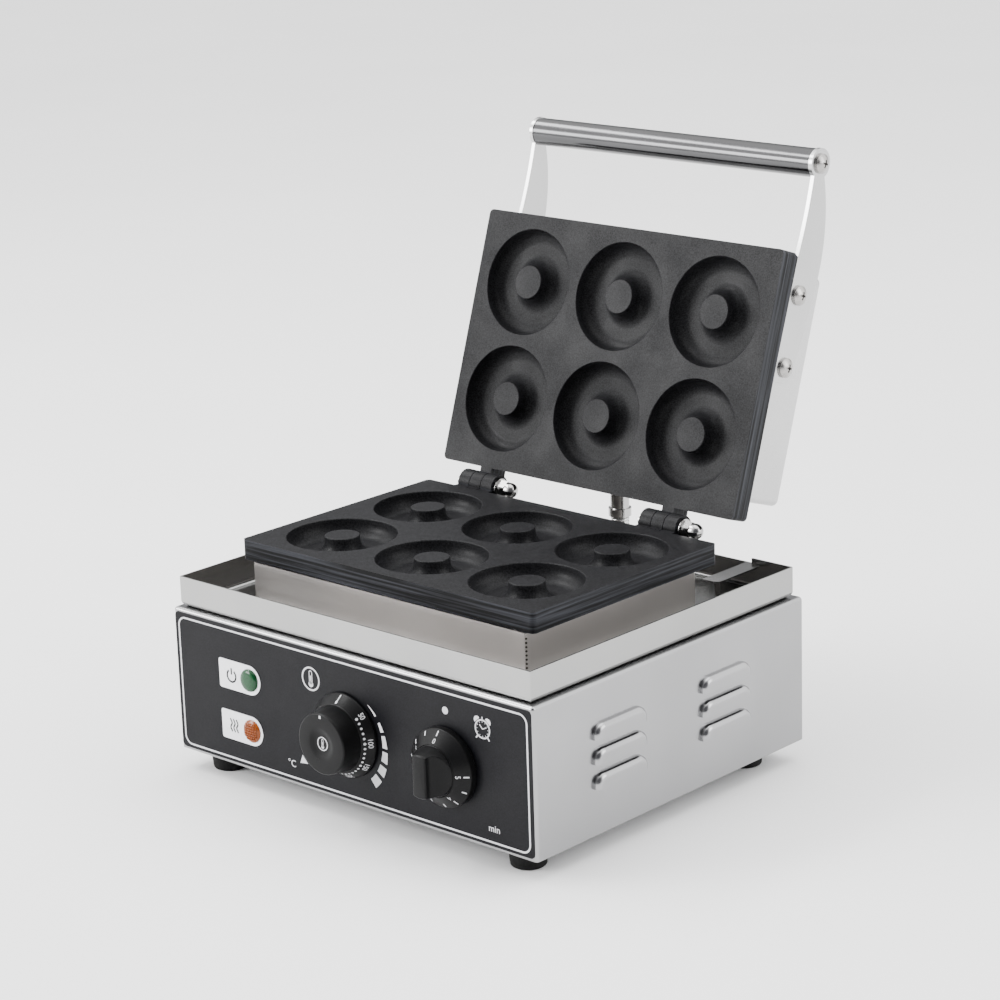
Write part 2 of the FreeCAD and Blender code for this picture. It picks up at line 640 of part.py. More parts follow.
def arm_face(x):
    """The arm's outline: a tapered blade that ends in a round boss on the bar's axis."""
    foot = s.arm_foot
    low = s.arm_low
    widest = low + s.arm_rise
    bar = (s.bar_reach, s.bar_rise)
    neck_front = (bar[0] - 0.89 * s.arm_boss, bar[1] - 0.456 * s.arm_boss)
    neck_back = (bar[0] - 0.75 * s.arm_boss, bar[1] + 0.661 * s.arm_boss)
    crown = (bar[0] + s.arm_boss, bar[1])
    middle = (bar[0] + foot) / 2
    corner = 3

    def at(pair):
        return lid_point(x, *pair)

    foot_low = (foot, low)
    foot_high = (foot, low + 17 - corner)
    foot_back = (foot + corner, low + 17)
    edges = [
        Part.LineSegment(at(foot_low), at((172, low + 1.1))),
        Part.Arc(at((172, low + 1.1)), at((198, low + 2.4)), at(neck_front)),
        Part.Arc(at(neck_front), at(crown), at(neck_back)),
        Part.Arc(at(neck_back), at((bar[0] - 42, widest - 1.3)), at((middle, widest))),
        Part.Arc(at((middle, widest)), at((middle - 32, widest - 3.7)), at(foot_back)),
        Part.Arc(at(foot_back), at((foot + 0.3 * corner, low + 17 - 0.3 * corner)),
                 at(foot_high)),
        Part.LineSegment(at(foot_high), at(foot_low)),
    ]
    return Part.Face(Part.Wire([edge.toShape() for edge in edges]))


def build_handle():
    inside = s.cover_width / 2 + 0.1
    for name, side in (("handle_arm_left", -1), ("handle_arm_right", 1)):
        blade = doc.addObject("Part::Feature", name + "_blade")
        blade.Shape = arm_face(side * inside).extrude(V(side * s.arm_thickness, 0, 0))
        places = [(s.screw_near, s.screw_rise), (s.screw_far, s.screw_rise),
                  (s.bar_reach, s.bar_rise)]
        holes = [rod("screw_radius + 0.1", 20, lid_point(side * inside - 10, *place), X_AXIS)
                 for place in places]
        keep(name, cut(blade, holes, name + "_cut"), lid=True)
    start = lid_point(-inside, s.bar_reach, s.bar_rise)
    tube = rod("bar_radius", "cover_width + 0.2", start, X_AXIS, "bar_outer")
    bore = rod("bar_radius - bar_wall", "cover_width + 2",
               lid_point(-inside - 1, s.bar_reach, s.bar_rise), X_AXIS, "bar_bore")
    keep("handle_bar", cut(tube, [bore], "handle_bar_cut"), lid=True)
    plugs = []
    bar_screws = []
    arm_screws = []
    for side in (-1, 1):
        inner = inside - 16 if side > 0 else -inside
        body = rod("bar_radius - bar_wall", 16, lid_point(inner, s.bar_reach, s.bar_rise), X_AXIS)
        thread = rod("screw_radius", 20, lid_point(inner - 2, s.bar_reach, s.bar_rise), X_AXIS)
        plugs.append(cut(body, [thread], "bar_plug"))
        outward = V(side, 0, 0)
        face = side * (inside + s.arm_thickness)
        bar_screws.append(pan_screw(lid_point(face, s.bar_reach, s.bar_rise), outward, 15))
        for reach in (s.screw_near, s.screw_far):
            arm_screws.append(pan_screw(lid_point(face, reach, s.screw_rise), outward, 9))
    keep("bar_plugs", group(plugs, "plug_set"), lid=True)
    keep("bar_screws", group(bar_screws, "bar_screw_set"), lid=True)
    keep("arm_screws", group(arm_screws, "arm_screw_set"), lid=True)


def pan_screw(seat, outward, length):
    """A cross-recessed pan-head screw: its seat, the way its head faces, and its shank."""
    head = rod("screw_head", 1.4, seat, outward)
    dome = rod("screw_head", 3, seat + outward * 1.4, outward)
    shape = common(dome, ball(8.2, seat - outward * 4.4))
    shank = rod("screw_radius - 0.05", length + 0.5, seat - outward * length, outward)
    cross = []
    for width, height in ((1.2, 5), (5, 1.2)):
        low = seat + outward * 3.4 - V(1.5, width / 2, height / 2)
        cross.append(block(3, width, height, low))
    return cut(fuse([head, shape, shank]), cross, "pan_screw")


# ---------------------------------------------------------------- heating

def element_path(half_width, front, back, z):
    """A U of tubing whose two ends come back to the rear."""
    bend = 22
    front_left = V(-half_width, front, z)
    front_right = V(half_width, front, z)
    turn = bend * (1 - math.cos(math.pi / 4))
    runs = [
        Part.LineSegment(V(-half_width, back, z), front_left + V(0, bend, 0)),
        Part.Arc(front_left + V(0, bend, 0), front_left + V(turn, turn, 0),
                 front_left + V(bend, 0, 0)),
        Part.LineSegment(front_left + V(bend, 0, 0), front_right - V(bend, 0, 0)),
        Part.Arc(front_right - V(bend, 0, 0), front_right + V(-turn, turn, 0),
                 front_right + V(0, bend, 0)),
        Part.LineSegment(front_right + V(0, bend, 0), V(half_width, back, z)),
    ]
    return Part.Wire([run.toShape() for run in runs])


def element(name, z, lid):
    middle = RING_Y
    path = element_path(s.ring_pitch, middle - s.ring_pitch / 2, middle + s.ring_pitch / 2 + 12, z)
    keep(name, tube_along(path, s.element_radius, name + "_tube"), lid=lid)


def stud_places():
    return [(side * s.ring_pitch / 2, RING_Y + end * s.stud_reach)
            for side in (-1, 1) for end in (-1, 1)]


def heat_set(prefix, back, inward, lid):
    """Element, reflector, insulation and studs behind one plate, counted from its back."""
    middle = back + inward * (s.ring_pad + s.element_clearance + s.element_radius)
    element(prefix + "_element", middle, lid)
    sheet_near = middle + inward * (s.element_radius + s.reflector_gap)
    board_near = sheet_near + inward * s.reflector_thickness
    board_far = board_near + inward * s.insulation_thickness
    sheet_low = min(sheet_near, board_near)
    board_low = min(board_near, board_far)
    inset = s.reflector_inset
    holes = [rod("stud_radius + 0.2", 60, (x, y, board_low - 20)) for x, y in stud_places()]
    sheet = block("cover_width - 2 * reflector_inset", "cover_length - 2 * reflector_inset",
                  "reflector_thickness",
                  (-s.cover_width / 2 + inset, COVER_FRONT + inset, sheet_low), "reflector")
    keep(prefix + "_reflector", cut(sheet, holes, prefix + "_reflector_cut"), lid=lid)
    board = block("cover_width - 2 * reflector_inset - 4",
                  "cover_length - 2 * reflector_inset - 4", "insulation_thickness",
                  (-s.cover_width / 2 + inset + 2, COVER_FRONT + inset + 2, board_low), "board")
    keep(prefix + "_insulation", cut(board, holes, prefix + "_insulation_cut"), lid=lid)
    studs = []
    for x, y in stud_places():
        away = V(0, 0, inward)
        length = abs(board_far - back) + 5
        shank = rod("stud_radius", length, (x, y, back), away, "stud")
        nut = hexagon("2 * stud_radius", 2.4, (x, y, board_far), away)
        studs.append(fuse([shank, nut], "stud_with_nut"))
    keep(prefix + "_studs", group(studs, prefix + "_stud_set"), lid=lid)


def build_heating():
    heat_set("lower", PARTING - s.lower_plate_thickness, -1, False)
    heat_set("upper", PARTING + s.upper_plate_thickness, 1, True)
    plate_under = PARTING - s.lower_plate_thickness
    bulb_z = plate_under - s.bulb_radius - 0.2
    half = s.bulb_length / 2
    keep("thermostat_bulb",
         rod("bulb_radius", "bulb_length", (-half, RING_Y, bulb_z), X_AXIS, "bulb"))
    lead_z = bulb_z + 1.3
    body_top = s.foot_height + s.knob_height + THERMOSTAT_SIZE[2] / 2
    path = smooth_route([
        V(-half, RING_Y, lead_z),
        V(-half - 4, RING_Y, lead_z),
        V(-half - 4.5, -56, lead_z),
        V(-half - 4, -68, lead_z),
        V(-half - 4, -68, lead_z - 14),
        V(-half - 1, -68.5, body_top + 12),
        V(-12, -80, body_top + 9),
        V(-10, -91, body_top + 8),
        V(-10, -91, body_top),
    ])
    keep("thermostat_capillary", tube_along(path, 0.7, "capillary_tube"))


def build_spacers():
    """Small discs on the pedestal's flange that carry the lower plate."""
    side = s.pedestal_width / 2 - s.sheet_wall - s.pedestal_flange / 2
    front = -s.pedestal_front + s.sheet_wall + s.pedestal_flange / 2
    back = s.pedestal_back - s.sheet_wall - s.pedestal_flange / 2
    spots = [(x, y) for y in (front, back) for x in (-side + 6, 0, side - 6)]
    discs = [rod("pedestal_flange / 2 - 0.2", "plate_gap", (x, y, DECK + s.pedestal_height))
             for x, y in spots]
    keep("plate_spacers", group(discs, "spacer_set"))


# ---------------------------------------------------------------- controls

def build_panel():
    body = doc.addObject("PartDesign::Body", "panel_body")
    half = "(housing_width / 2 - panel_margin)"
    low = "(foot_height + panel_margin)"
    high = "(foot_height + housing_height - 1.5 * panel_margin)"
    outline = [("-" + half, low), (half, low), (half, high), ("-" + half, high)]
    sketch = polygon_sketch(body, "XZ_Plane", outline, "panel_outline")
    pad = body.newObject("PartDesign::Pad", "panel_pad")
    pad.Profile = sketch
    bind(pad, Length="panel_thickness")
    doc.recompute()
    corners = ["Edge%d" % number for number, edge in enumerate(pad.Shape.Edges, 1)
               if along(edge, Y_AXIS)]
    soft = body.newObject("PartDesign::Fillet", "panel_corners")
    soft.Base = (pad, corners)
    soft.Radius = 3
    holes = body.newObject("Sketcher::SketchObject", "panel_holes")
    attach(holes, body, "XZ_Plane")
    for side in ("temperature_side", "timer_side"):
        add_circle(holes, side, "foot_height + knob_height", "shaft_radius + 1")
    for height in ("power_lamp_height", "heat_lamp_height"):
        add_circle(holes, "lamp_side", "foot_height + " + height, "lamp_body_radius + 0.2")
    pocket = body.newObject("PartDesign::Pocket", "panel_pocket")
    pocket.Profile = holes
    pocket.Type = "ThroughAll"
    pocket.Midplane = True
    doc.recompute()
    solid = pad.Shape.Volume
    if not body.Shape.Volume < solid - 100:
        raise ValueError("the control panel has no holes")
    shift = FRONT_FACE - body.Shape.BoundBox.YMax
    body.Placement.Base = V(0, shift, 0)
    keep("control_panel", body)


def attach(sketch, body, plane):
    origin = [feature for feature in body.Origin.OriginFeatures if feature.Role == plane]
    sketch.AttachmentSupport = [(origin[0], "")]
    sketch.MapMode = "FlatFace"


def polygon_sketch(body, plane, points, name):
    """A closed polygon whose corners are tied to the sheet."""
    sketch = body.newObject("Sketcher::SketchObject", name)
    attach(sketch, body, plane)
    count = len(points)
    guess = [V(number, number * number, 0) for number in range(count)]
    for number in range(count):
        sketch.addGeometry(Part.LineSegment(guess[number], guess[(number + 1) % count]), False)
    for number in range(count):
        sketch.addConstraint(
            Sketcher.Constraint("Coincident", number, 2, (number + 1) % count, 1))
    for number, pair in enumerate(points):
        for kind, text in zip(("DistanceX", "DistanceY"), pair):
            index = sketch.addConstraint(Sketcher.Constraint(kind, -1, 1, number, 1, 1.0))
            sketch.setExpression("Constraints[%d]" % index, formula(text))
    return sketch


def add_circle(sketch, x, y, radius):
    """A circle whose centre and radius are tied to the sheet."""
    number = sketch.addGeometry(Part.Circle(V(1, 1, 0), Z_AXIS, 5), False)
    for kind, text in (("DistanceX", x), ("DistanceY", y)):
        index = sketch.addConstraint(Sketcher.Constraint(kind, -1, 1, number, 3, 1.0))
        sketch.setExpression("Constraints[%d]" % index, formula(text))
    index = sketch.addConstraint(Sketcher.Constraint("Radius", number, 5.0))
    sketch.setExpression("Constraints[%d]" % index, formula(radius))


def panel_front():
    return FRONT_FACE - s.panel_thickness


def on_panel(item, side):
    """Stand an item drawn about +Z on the panel, facing the operator."""
    item.Placement = FreeCAD.Placement(
        V(side, panel_front(), s.foot_height + s.knob_height),
        FreeCAD.Rotation(X_AXIS, 90))
    return item


def build_temperature_knob():
    rim_top = 2
    slope_top = 8.6
    parts = [
        rod("temperature_rim", rim_top - s.knob_gap, (0, 0, s.knob_gap)),
        cone("temperature_rim", "temperature_hub + 0.4", slope_top - rim_top, (0, 0, rim_top)),
        cone("temperature_hub", "temperature_cap", "temperature_stand - %s" % slope_top,
             (0, 0, slope_top)),
    ]
    knob = fuse(parts, "temperature_blank")
    knob = rounded(knob, 1.2, lambda edge: isinstance(edge.Curve, Part.Circle)
                   and near(edge.CenterOfMass.z, s.temperature_stand))
    dish = ball(24, (0, 0, s.temperature_stand + 22))
    hollow = rod(16, 6, (0, 0, -1))
    bore = rod("shaft_radius + 0.01", 14, (0, 0, -1))
    knob = cut(knob, [dish, hollow, bore], "temperature_cut")
    keep("temperature_knob", on_panel(knob, s.temperature_side))


def build_timer_knob():
    rim_top = 5
    slope_top = 11.6
    base = [
        rod("timer_rim", rim_top - s.knob_gap, (0, 0, s.knob_gap)),
        cone("timer_rim", "timer_hub + 0.3", slope_top - rim_top, (0, 0, rim_top)),
    ]
    grip = doc.addObject("Part::Feature", "timer_grip")
    half_width = s.timer_grip_width / 2
    half_length = s.timer_grip_length / 2
    circle = Part.Wire([Part.Circle(V(0, 0, slope_top - 0.5), Z_AXIS, s.timer_hub).toShape()])
    ends = half_width * 0.8
    flat = half_length - ends
    bar = rounded_bar(half_width, flat, ends, s.timer_stand)
    grip.Shape = Part.makeLoft([circle, bar], True, False)
    hollow = rod(10, 6, (0, 0, -1))
    bore = rod("shaft_radius + 0.01", 14, (0, 0, -1))
    knob = cut(fuse(base + [grip], "timer_blank"), [hollow, bore], "timer_cut")
    keep("timer_knob", on_panel(knob, s.timer_side))


def rounded_bar(half_width, flat, ends, z):
    """An upright bar outline with bowed ends."""
    corners = [V(half_width, -flat, z), V(half_width, flat, z),
               V(-half_width, flat, z), V(-half_width, -flat, z)]
    runs = [
        Part.LineSegment(corners[0], corners[1]),
        Part.Arc(corners[1], V(0, flat + ends, z), corners[2]),
        Part.LineSegment(corners[2], corners[3]),
        Part.Arc(corners[3], V(0, -flat - ends, z), corners[0]),
    ]
    return Part.Wire([run.toShape() for run in runs])


def build_controls():
    behind = FRONT_FACE + s.sheet_wall
    height = s.foot_height + s.knob_height
    for name, side, size in (("thermostat", s.temperature_side, THERMOSTAT_SIZE),
                             ("timer", s.timer_side, TIMER_SIZE)):
        case = block(size[0], size[1], size[2],
                     (side - size[0] / 2, behind, height - size[2] / 2), name + "_case")
        well = rod("shaft_radius + 0.05", 14, (side, behind - 1, height), Y_AXIS)
        keep(name + "_body", cut(case, [well], name + "_body_cut"))
        shaft = rod("shaft_radius", "%s + sheet_wall + panel_thickness" % 22,
                    (side, panel_front() - 12, height), Y_AXIS)
        keep(name + "_shaft", shaft)
    for name, level in (("power", s.power_lamp_height), ("heat", s.heat_lamp_height)):
        z = s.foot_height + level
        label_front = panel_front() - s.label_thickness
        tab = label(name, z)
        hole = rod("lamp_body_radius + 0.2", 3, (s.lamp_side, panel_front() - 2, z), Y_AXIS)
        keep(name + "_label", cut(tab, [hole], name + "_label_cut"))
        dome = common(ball("lamp_radius + 3.2", (s.lamp_side, label_front + 7.2, z)),
                      rod("lamp_radius", 6, (s.lamp_side, label_front - 6, z), Y_AXIS))
        stem = rod("lamp_body_radius - 0.3", 6, (s.lamp_side, label_front, z), Y_AXIS)
        collar = rod("lamp_radius", 0.4, (s.lamp_side, label_front - 0.4, z), Y_AXIS)
        keep(name + "_lens", fuse([dome, collar, stem], name + "_lens_fuse"))
        keep(name + "_lamp_body", rod("lamp_body_radius", 20,
                                      (s.lamp_side, label_front + 6, z), Y_AXIS))


def label(name, z):
    """A thin label with square corners on its left and a round end on its right."""
    back = panel_front()
    left = s.lamp_side + s.label_radius - s.label_length
    plate_part = block("label_length - label_radius", "label_thickness", "2 * label_radius",
                       (left, back - s.label_thickness, z - s.label_radius))
    plate_part = rounded(plate_part, 1.5, lambda edge: along(edge, Y_AXIS)
                         and near(edge.CenterOfMass.x, left))
    end = rod("label_radius", "label_thickness", (s.lamp_side, back - s.label_thickness, z),
              Y_AXIS)
    return fuse([plate_part, end], name + "_label_blank")


# ---------------------------------------------------------------- wiring

def gland(name, seat, outward, lid=False):
    """A hexagon and a ribbed cap with a hole for the lead."""
    body = hexagon("gland_radius", 4, seat, outward)
    cap = cone("gland_radius - 1", "gland_radius - 1.6", 8, seat + outward * 4, outward)
    stem = rod("hose_radius - 0.3", 8, seat - outward * 8, outward)
    hole = rod("hose_radius - 2", 30, seat - outward * 12, outward)
    return keep(name, cut(fuse([body, cap, stem]), [hole], name + "_cut"), lid=lid)


def smooth_route(points):
    """Straight runs joined by tangent arcs, each as large as its two runs allow."""
    edges = []
    last = points[0]
    for before, corner, after in zip(points, points[1:], points[2:]):
        back = before - corner
        ahead = after - corner
        room = 0.45 * min(back.Length, ahead.Length)
        back.normalize()
        ahead.normalize()
        half_turn = (math.pi - back.getAngle(ahead)) / 2
        radius = room / math.tan(half_turn)
        inward = (back + ahead).normalize()
        middle = corner + inward * (radius / math.cos(half_turn) - radius)
        edges.append(Part.LineSegment(last, corner + back * room).toShape())
        edges.append(Part.Arc(corner + back * room, middle, corner + ahead * room).toShape())
        last = corner + ahead * room
        print("bend radius %.1f" % radius)
    edges.append(Part.LineSegment(last, points[-1]).toShape())
    return Part.Wire(edges)


def tube_along(path, radius, name):
    """A round solid swept along a path."""
    start = path.Vertexes[0].Point
    ahead = path.Edges[0].tangentAt(path.Edges[0].FirstParameter)
    profile = Part.Wire([Part.Circle(start, ahead, radius).toShape()])
    item = doc.addObject("Part::Feature", name)
    item.Shape = path.makePipeShell([profile], True, True)
    return item


def build_wiring():
    keep("terminal_block", block(60, 22, 20, (60, 70, s.foot_height + s.sheet_wall),
                                 "terminals"))
    out = Y_AXIS
    gland("mains_gland", V(s.mains_side, REAR_FACE, s.foot_height + s.mains_height), out)
    base_seat = V(s.hose_gland_side, REAR_FACE, s.foot_height + s.hose_gland_height)
    gland("hose_gland", base_seat, out)
    opening = lid_opening()
    seat = opening.multVec(nipple_seat())
    nipple_end = seat - Z_AXIS * (s.nipple_length - 6)
    tube = rod("hose_radius", "nipple_length", nipple_end, Z_AXIS, "nipple_outer")
    bore = rod("hose_radius - 1", "nipple_length + 2", nipple_end - Z_AXIS, Z_AXIS)
    ferrule = rod("hose_radius + 1.2", 5, nipple_end, Z_AXIS, "ferrule")
    nipple = cut(fuse([tube, ferrule]), [bore], "lid_nipple_cut")
    nipple.Placement = opening.inverse()
    keep("lid_nipple", nipple, lid=True)
    gland_end = base_seat + out * s.gland_length
    hose_top = nipple_end - Z_AXIS * HOSE_GAP
    first_bend = nipple_end - Z_AXIS * HOSE_DROP
    path = smooth_route([hose_top, first_bend] + [V(*place) for place in HOSE_POINTS]
                        + [gland_end])
    radius = s.hose_radius - 0.2
    hose = tube_along(path, radius, "hose_tube")
    print("hose length %.1f, volume ratio %.4f"
          % (path.Length, hose.Shape.Volume / (math.pi * radius ** 2 * path.Length)))
    keep("lid_hose", hose)


# ---------------------------------------------------------------- the whole

def open_lid():
    opening = lid_opening()
    for label_name in lid_pieces:
        item = pieces[label_name]
        item.Placement = opening.multiply(item.Placement)


def settle():
    """Put the origin under the middle of the whole object's box."""
    box = FreeCAD.BoundBox()
    for item in pieces.values():
        box.add(item.Shape.BoundBox)
    middle = V((box.XMin + box.XMax) / 2, (box.YMin + box.YMax) / 2, box.ZMin)
    for item in pieces.values():
        item.Placement.Base = item.Placement.Base - middle
    hinge = V(0, HINGE_Y, PARTING) - middle
    print("moved by", -middle)
    print("hinge axis at y %.3f z %.3f" % (hinge.y, hinge.z))
    print("knob axes at z %.3f, panel front at y %.3f"
          % (s.foot_height + s.knob_height, panel_front() - middle.y))


def check_all():
    for item in doc.Objects:
        state = set(item.State) & {"Invalid", "Error"}
        if state:
            raise ValueError("%s (%s) is %s" % (item.Name, item.Label, sorted(state)))
    for name, item in pieces.items():
        if item.Shape.isNull() or not item.Shape.isValid() or not item.Shape.Solids:
            raise ValueError("%s has no sound shape" % name)


build_housing()
build_housing_sheets()
build_feet()
build_rear_screws()
build_tray()
build_pedestal()
build_plates()
build_hinge_hardware()
build_cover()
build_handle()
build_spacers()
build_heating()
build_panel()
build_temperature_knob()
build_timer_knob()
build_controls()
build_wiring()
doc.recompute()
open_lid()
doc.recompute()
settle()
doc.recompute()
check_all()

os.makedirs("parts", exist_ok=True)
for name, item in pieces.items():
    item.Shape.exportStep("parts/%s.step" % name)
print(len(pieces), "pieces written")
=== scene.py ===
# %% [markdown]
# # A six-ring donut maker
# A steel housing stands on rubber feet. Its front carries a thermostat, a timer and two
# lamps. A drip tray and a pedestal on top hold the lower baking plate, and the upper
# plate swings on two hinges with a steel cover and a bar handle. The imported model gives
# every piece with a working size, so this script keeps those pieces, gives each a
# finish, and makes anew only what needs finer shapes: knobs, prints, lenses and hose.

# %% Load the fixed frame
import json
import math

import bmesh
import bpy
from mathutils import Matrix, Vector


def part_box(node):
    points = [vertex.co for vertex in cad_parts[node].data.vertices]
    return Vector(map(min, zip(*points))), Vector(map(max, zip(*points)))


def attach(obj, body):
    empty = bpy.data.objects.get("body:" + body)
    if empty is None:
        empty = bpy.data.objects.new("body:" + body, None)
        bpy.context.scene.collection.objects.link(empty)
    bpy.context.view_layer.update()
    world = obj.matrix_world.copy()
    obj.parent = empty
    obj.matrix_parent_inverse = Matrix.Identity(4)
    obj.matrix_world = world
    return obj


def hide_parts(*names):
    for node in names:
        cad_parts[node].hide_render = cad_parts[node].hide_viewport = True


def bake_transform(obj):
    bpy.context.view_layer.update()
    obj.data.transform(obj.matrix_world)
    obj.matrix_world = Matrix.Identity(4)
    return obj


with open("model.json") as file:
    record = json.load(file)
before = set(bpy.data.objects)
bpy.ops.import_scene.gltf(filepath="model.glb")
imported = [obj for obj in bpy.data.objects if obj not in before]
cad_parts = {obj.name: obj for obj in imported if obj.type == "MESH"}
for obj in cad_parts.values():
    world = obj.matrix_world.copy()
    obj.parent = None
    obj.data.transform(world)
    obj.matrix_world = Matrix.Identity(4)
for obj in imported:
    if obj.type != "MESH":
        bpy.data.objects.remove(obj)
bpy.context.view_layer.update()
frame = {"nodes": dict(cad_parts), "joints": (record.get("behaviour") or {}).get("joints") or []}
nodes = frame["nodes"]
joints = {joint["name"]: joint for joint in frame["joints"]}
MM = 0.001

# %% [markdown]
# ## Places
# What the frame holds is read from it and not typed in again. The control panel's
# front face gives the plane that prints lie on, and each dial's joint gives its axis.
# Prints have no piece in the frame, so their places are numbers here, in millimetres.

# %% Places read from the frame
PANEL_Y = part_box("control_panel")[0].y
PANEL_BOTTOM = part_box("foot_front_left")[1].z
knob_centre = {
    "temperature": Vector(joints["temperature_turn"]["pos_m"]),
    "timer": Vector(joints["timer_turn"]["pos_m"]),
}
hinge = Vector(joints["lid_hinge"]["pos_m"])
open_angle = math.radians(joints["lid_hinge"]["range_deg"][1])
print("panel front at y", round(PANEL_Y, 4), "and hinge at", tuple(round(v, 4) for v in hinge))

# %% [markdown]
# ## Smooth shading
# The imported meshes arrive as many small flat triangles. A turned or rolled surface
# should shade smoothly and a folded edge should stay crisp, so each mesh is shaded
# smooth and edges sharper than 30 degrees are marked. The plates take 50 degrees, so
# that their ring moulds stay soft. No vertex moves.

# %% Shade the carried-over pieces
CREASE = math.radians(30)
PLATE_CREASE = math.radians(50)


def shade(piece, crease=CREASE):
    """Smooth shading with crisp edges above the crease angle."""
    mesh = piece.data
    mesh.shade_smooth()
    mesh.set_sharp_from_angle(angle=crease)


for name, node in nodes.items():
    if node.data.has_custom_normals:
        bpy.context.view_layer.objects.active = node
        bpy.ops.mesh.customdata_custom_splitnormals_clear()
    shade(node, PLATE_CREASE if name.endswith("_plate") else CREASE)

# %% [markdown]
# ## How a finish is built
# A finish here is a small node tree that starts from Object coordinates, which are
# metres in the model's own frame, so grain stays the same size on every piece. Noise
# that is stretched along one axis reads as brushing; fine even noise reads as coating.
# Values that don't vary are typed on the shader's own sockets.

# %% Helpers for finishes
class Finish:
    """A Principled material with a few named steps for building its nodes."""

    def __init__(self, name, colour, metallic=0.0, roughness=0.5, **sockets):
        self.material = bpy.data.materials.new(name)
        self.material.use_nodes = True
        self.tree = self.material.node_tree
        self.shader = self.tree.nodes["Principled BSDF"]
        self.set("Base Color", (*colour, 1.0))
        self.set("Metallic", metallic)
        self.set("Roughness", roughness)
        for socket, value in sockets.items():
            self.set(socket.replace("_", " ").title().replace("Ior", "IOR"), value)
        self.material.diffuse_color = (*colour, 1.0)
        self.normal = None

    def set(self, socket, value):
        self.shader.inputs[socket].default_value = value

    def add(self, kind, **values):
        node = self.tree.nodes.new(kind)
        for name, value in values.items():
            setattr(node, name, value)
        return node

    def link(self, out, target):
        self.tree.links.new(out, target)

    def noise(self, scale, detail=2.0, stretch=(1, 1, 1), tilt=0.0):
        """Noise in metres, drawn out along each axis and tilted about X."""
        place = self.add("ShaderNodeTexCoord")
        mapping = self.add("ShaderNodeMapping", vector_type="TEXTURE")
        mapping.inputs["Rotation"].default_value = (tilt, 0, 0)
        mapping.inputs["Scale"].default_value = stretch
        noise = self.add("ShaderNodeTexNoise")
        noise.inputs["Scale"].default_value = scale
        noise.inputs["Detail"].default_value = detail
        self.link(place.outputs["Object"], mapping.inputs["Vector"])
        self.link(mapping.outputs["Vector"], noise.inputs["Vector"])
        return noise.outputs["Fac"]

    def ramp(self, fac, low, high, low_at=0.35, high_at=0.65):
        """Spread a factor between two colours or grey levels."""
        ramp = self.add("ShaderNodeValToRGB")
        ramp.color_ramp.elements[0].position = low_at
        ramp.color_ramp.elements[1].position = high_at
        ramp.color_ramp.elements[0].color = (*low, 1.0)
        ramp.color_ramp.elements[1].color = (*high, 1.0)
        self.link(fac, ramp.inputs["Fac"])
        return ramp.outputs["Color"]

    def vary_colour(self, fac, low, high, **at):
        self.link(self.ramp(fac, low, high, **at), self.shader.inputs["Base Color"])

    def vary_roughness(self, fac, low, high):
        spread = self.add("ShaderNodeMapRange")
        spread.inputs["From Min"].default_value = 0.3
        spread.inputs["From Max"].default_value = 0.7
        spread.inputs["To Min"].default_value = low
        spread.inputs["To Max"].default_value = high
        self.link(fac, spread.inputs["Value"])
        self.link(spread.outputs["Result"], self.shader.inputs["Roughness"])

    def bump(self, fac, height, strength=1.0):
        """Stack a bump of that height, in metres, on the ones before it."""
        bump = self.add("ShaderNodeBump")
        bump.inputs["Strength"].default_value = strength
        bump.inputs["Distance"].default_value = height
        self.link(fac, bump.inputs["Height"])
        if self.normal:
            self.link(self.normal, bump.inputs["Normal"])
        self.normal = bump.outputs["Normal"]
        self.link(self.normal, self.shader.inputs["Normal"])


# %% [markdown]
# ## Brushed stainless sheet
# The housing, tray and lid cover are satin stainless steel: an even light grey with a
# very fine grain along the direction the sheet was brushed. One function makes it for
# each grain direction. The stretched noise drives roughness and a shallow bump, and a
# broad second noise keeps large faces from looking printed.

# %% Brushed stainless sheet
STRETCH = 80
ALONG = {"x": (STRETCH, 1, 1), "z": (1, 1, STRETCH)}
BRUSH_SCALE, BROAD_SCALE = 2600, 14
BRUSH_HEIGHT = 3e-7
LID_TILT = -open_angle


def brushed_sheet(name, grain, colour, roughness, tilt=0.0):
    sheet = Finish(name, colour, metallic=1.0, roughness=roughness)
    fine = sheet.noise(BRUSH_SCALE, detail=3, stretch=ALONG[grain], tilt=tilt)
    broad = sheet.noise(BROAD_SCALE, detail=2)
    darker = tuple(value * 0.95 for value in colour)
    lighter = tuple(value * 1.04 for value in colour)
    sheet.vary_colour(broad, darker, lighter)
    sheet.vary_roughness(fine, roughness - 0.02, roughness + 0.03)
    sheet.bump(fine, BRUSH_HEIGHT)
    return sheet.material


housing_steel = brushed_sheet("housing_steel", "z", (0.31, 0.31, 0.315), 0.22)
tray_steel = brushed_sheet("tray_steel", "x", (0.32, 0.32, 0.315), 0.2)
# The pedestal is the same stainless sheet as the tray. Its warm tint is its own, but its grey is
# set much lighter than the tray's: painted light that lifts its shaded faces inside the tray.
pedestal_steel_painted_light = brushed_sheet("pedestal_steel_painted_light", "x", (0.56, 0.53, 0.51), 0.34)
cover_steel = brushed_sheet("cover_steel", "x", (0.52, 0.52, 0.52), 0.28)
arm_steel = brushed_sheet("arm_steel", "z", (0.50, 0.50, 0.50), 0.22, LID_TILT)
# The handle bar uses the same brushed steel with a very dark colour. That colour is painted shade
# standing in for the dark reflections along the bar.
painted_dark_bar_steel = brushed_sheet("painted_dark_bar_steel", "x", (0.075, 0.075, 0.077), 0.15)

# %% [markdown]
# ## Dark coated plates
# The baking plates are cast aluminium with a baked non-stick coat. Seen close, the
# coat is a dark grey with a sparkle of fine grain, and the machined sides show faint
# lines along the edge. The grain is even noise at under half a millimetre; the side
# lines come from noise squeezed flat in height, which shows only on upright faces.

# %% Dark coated plates
GRAIN_SCALE, SOFT_SCALE, LINE_SCALE = 1300, 40, 650
GRAIN_HEIGHT, LINE_HEIGHT = 3e-5, 1.5e-4
LINE_STRETCH = (50, 50, 1)
EDGE_GREY = (0.0065, 0.0068, 0.008)


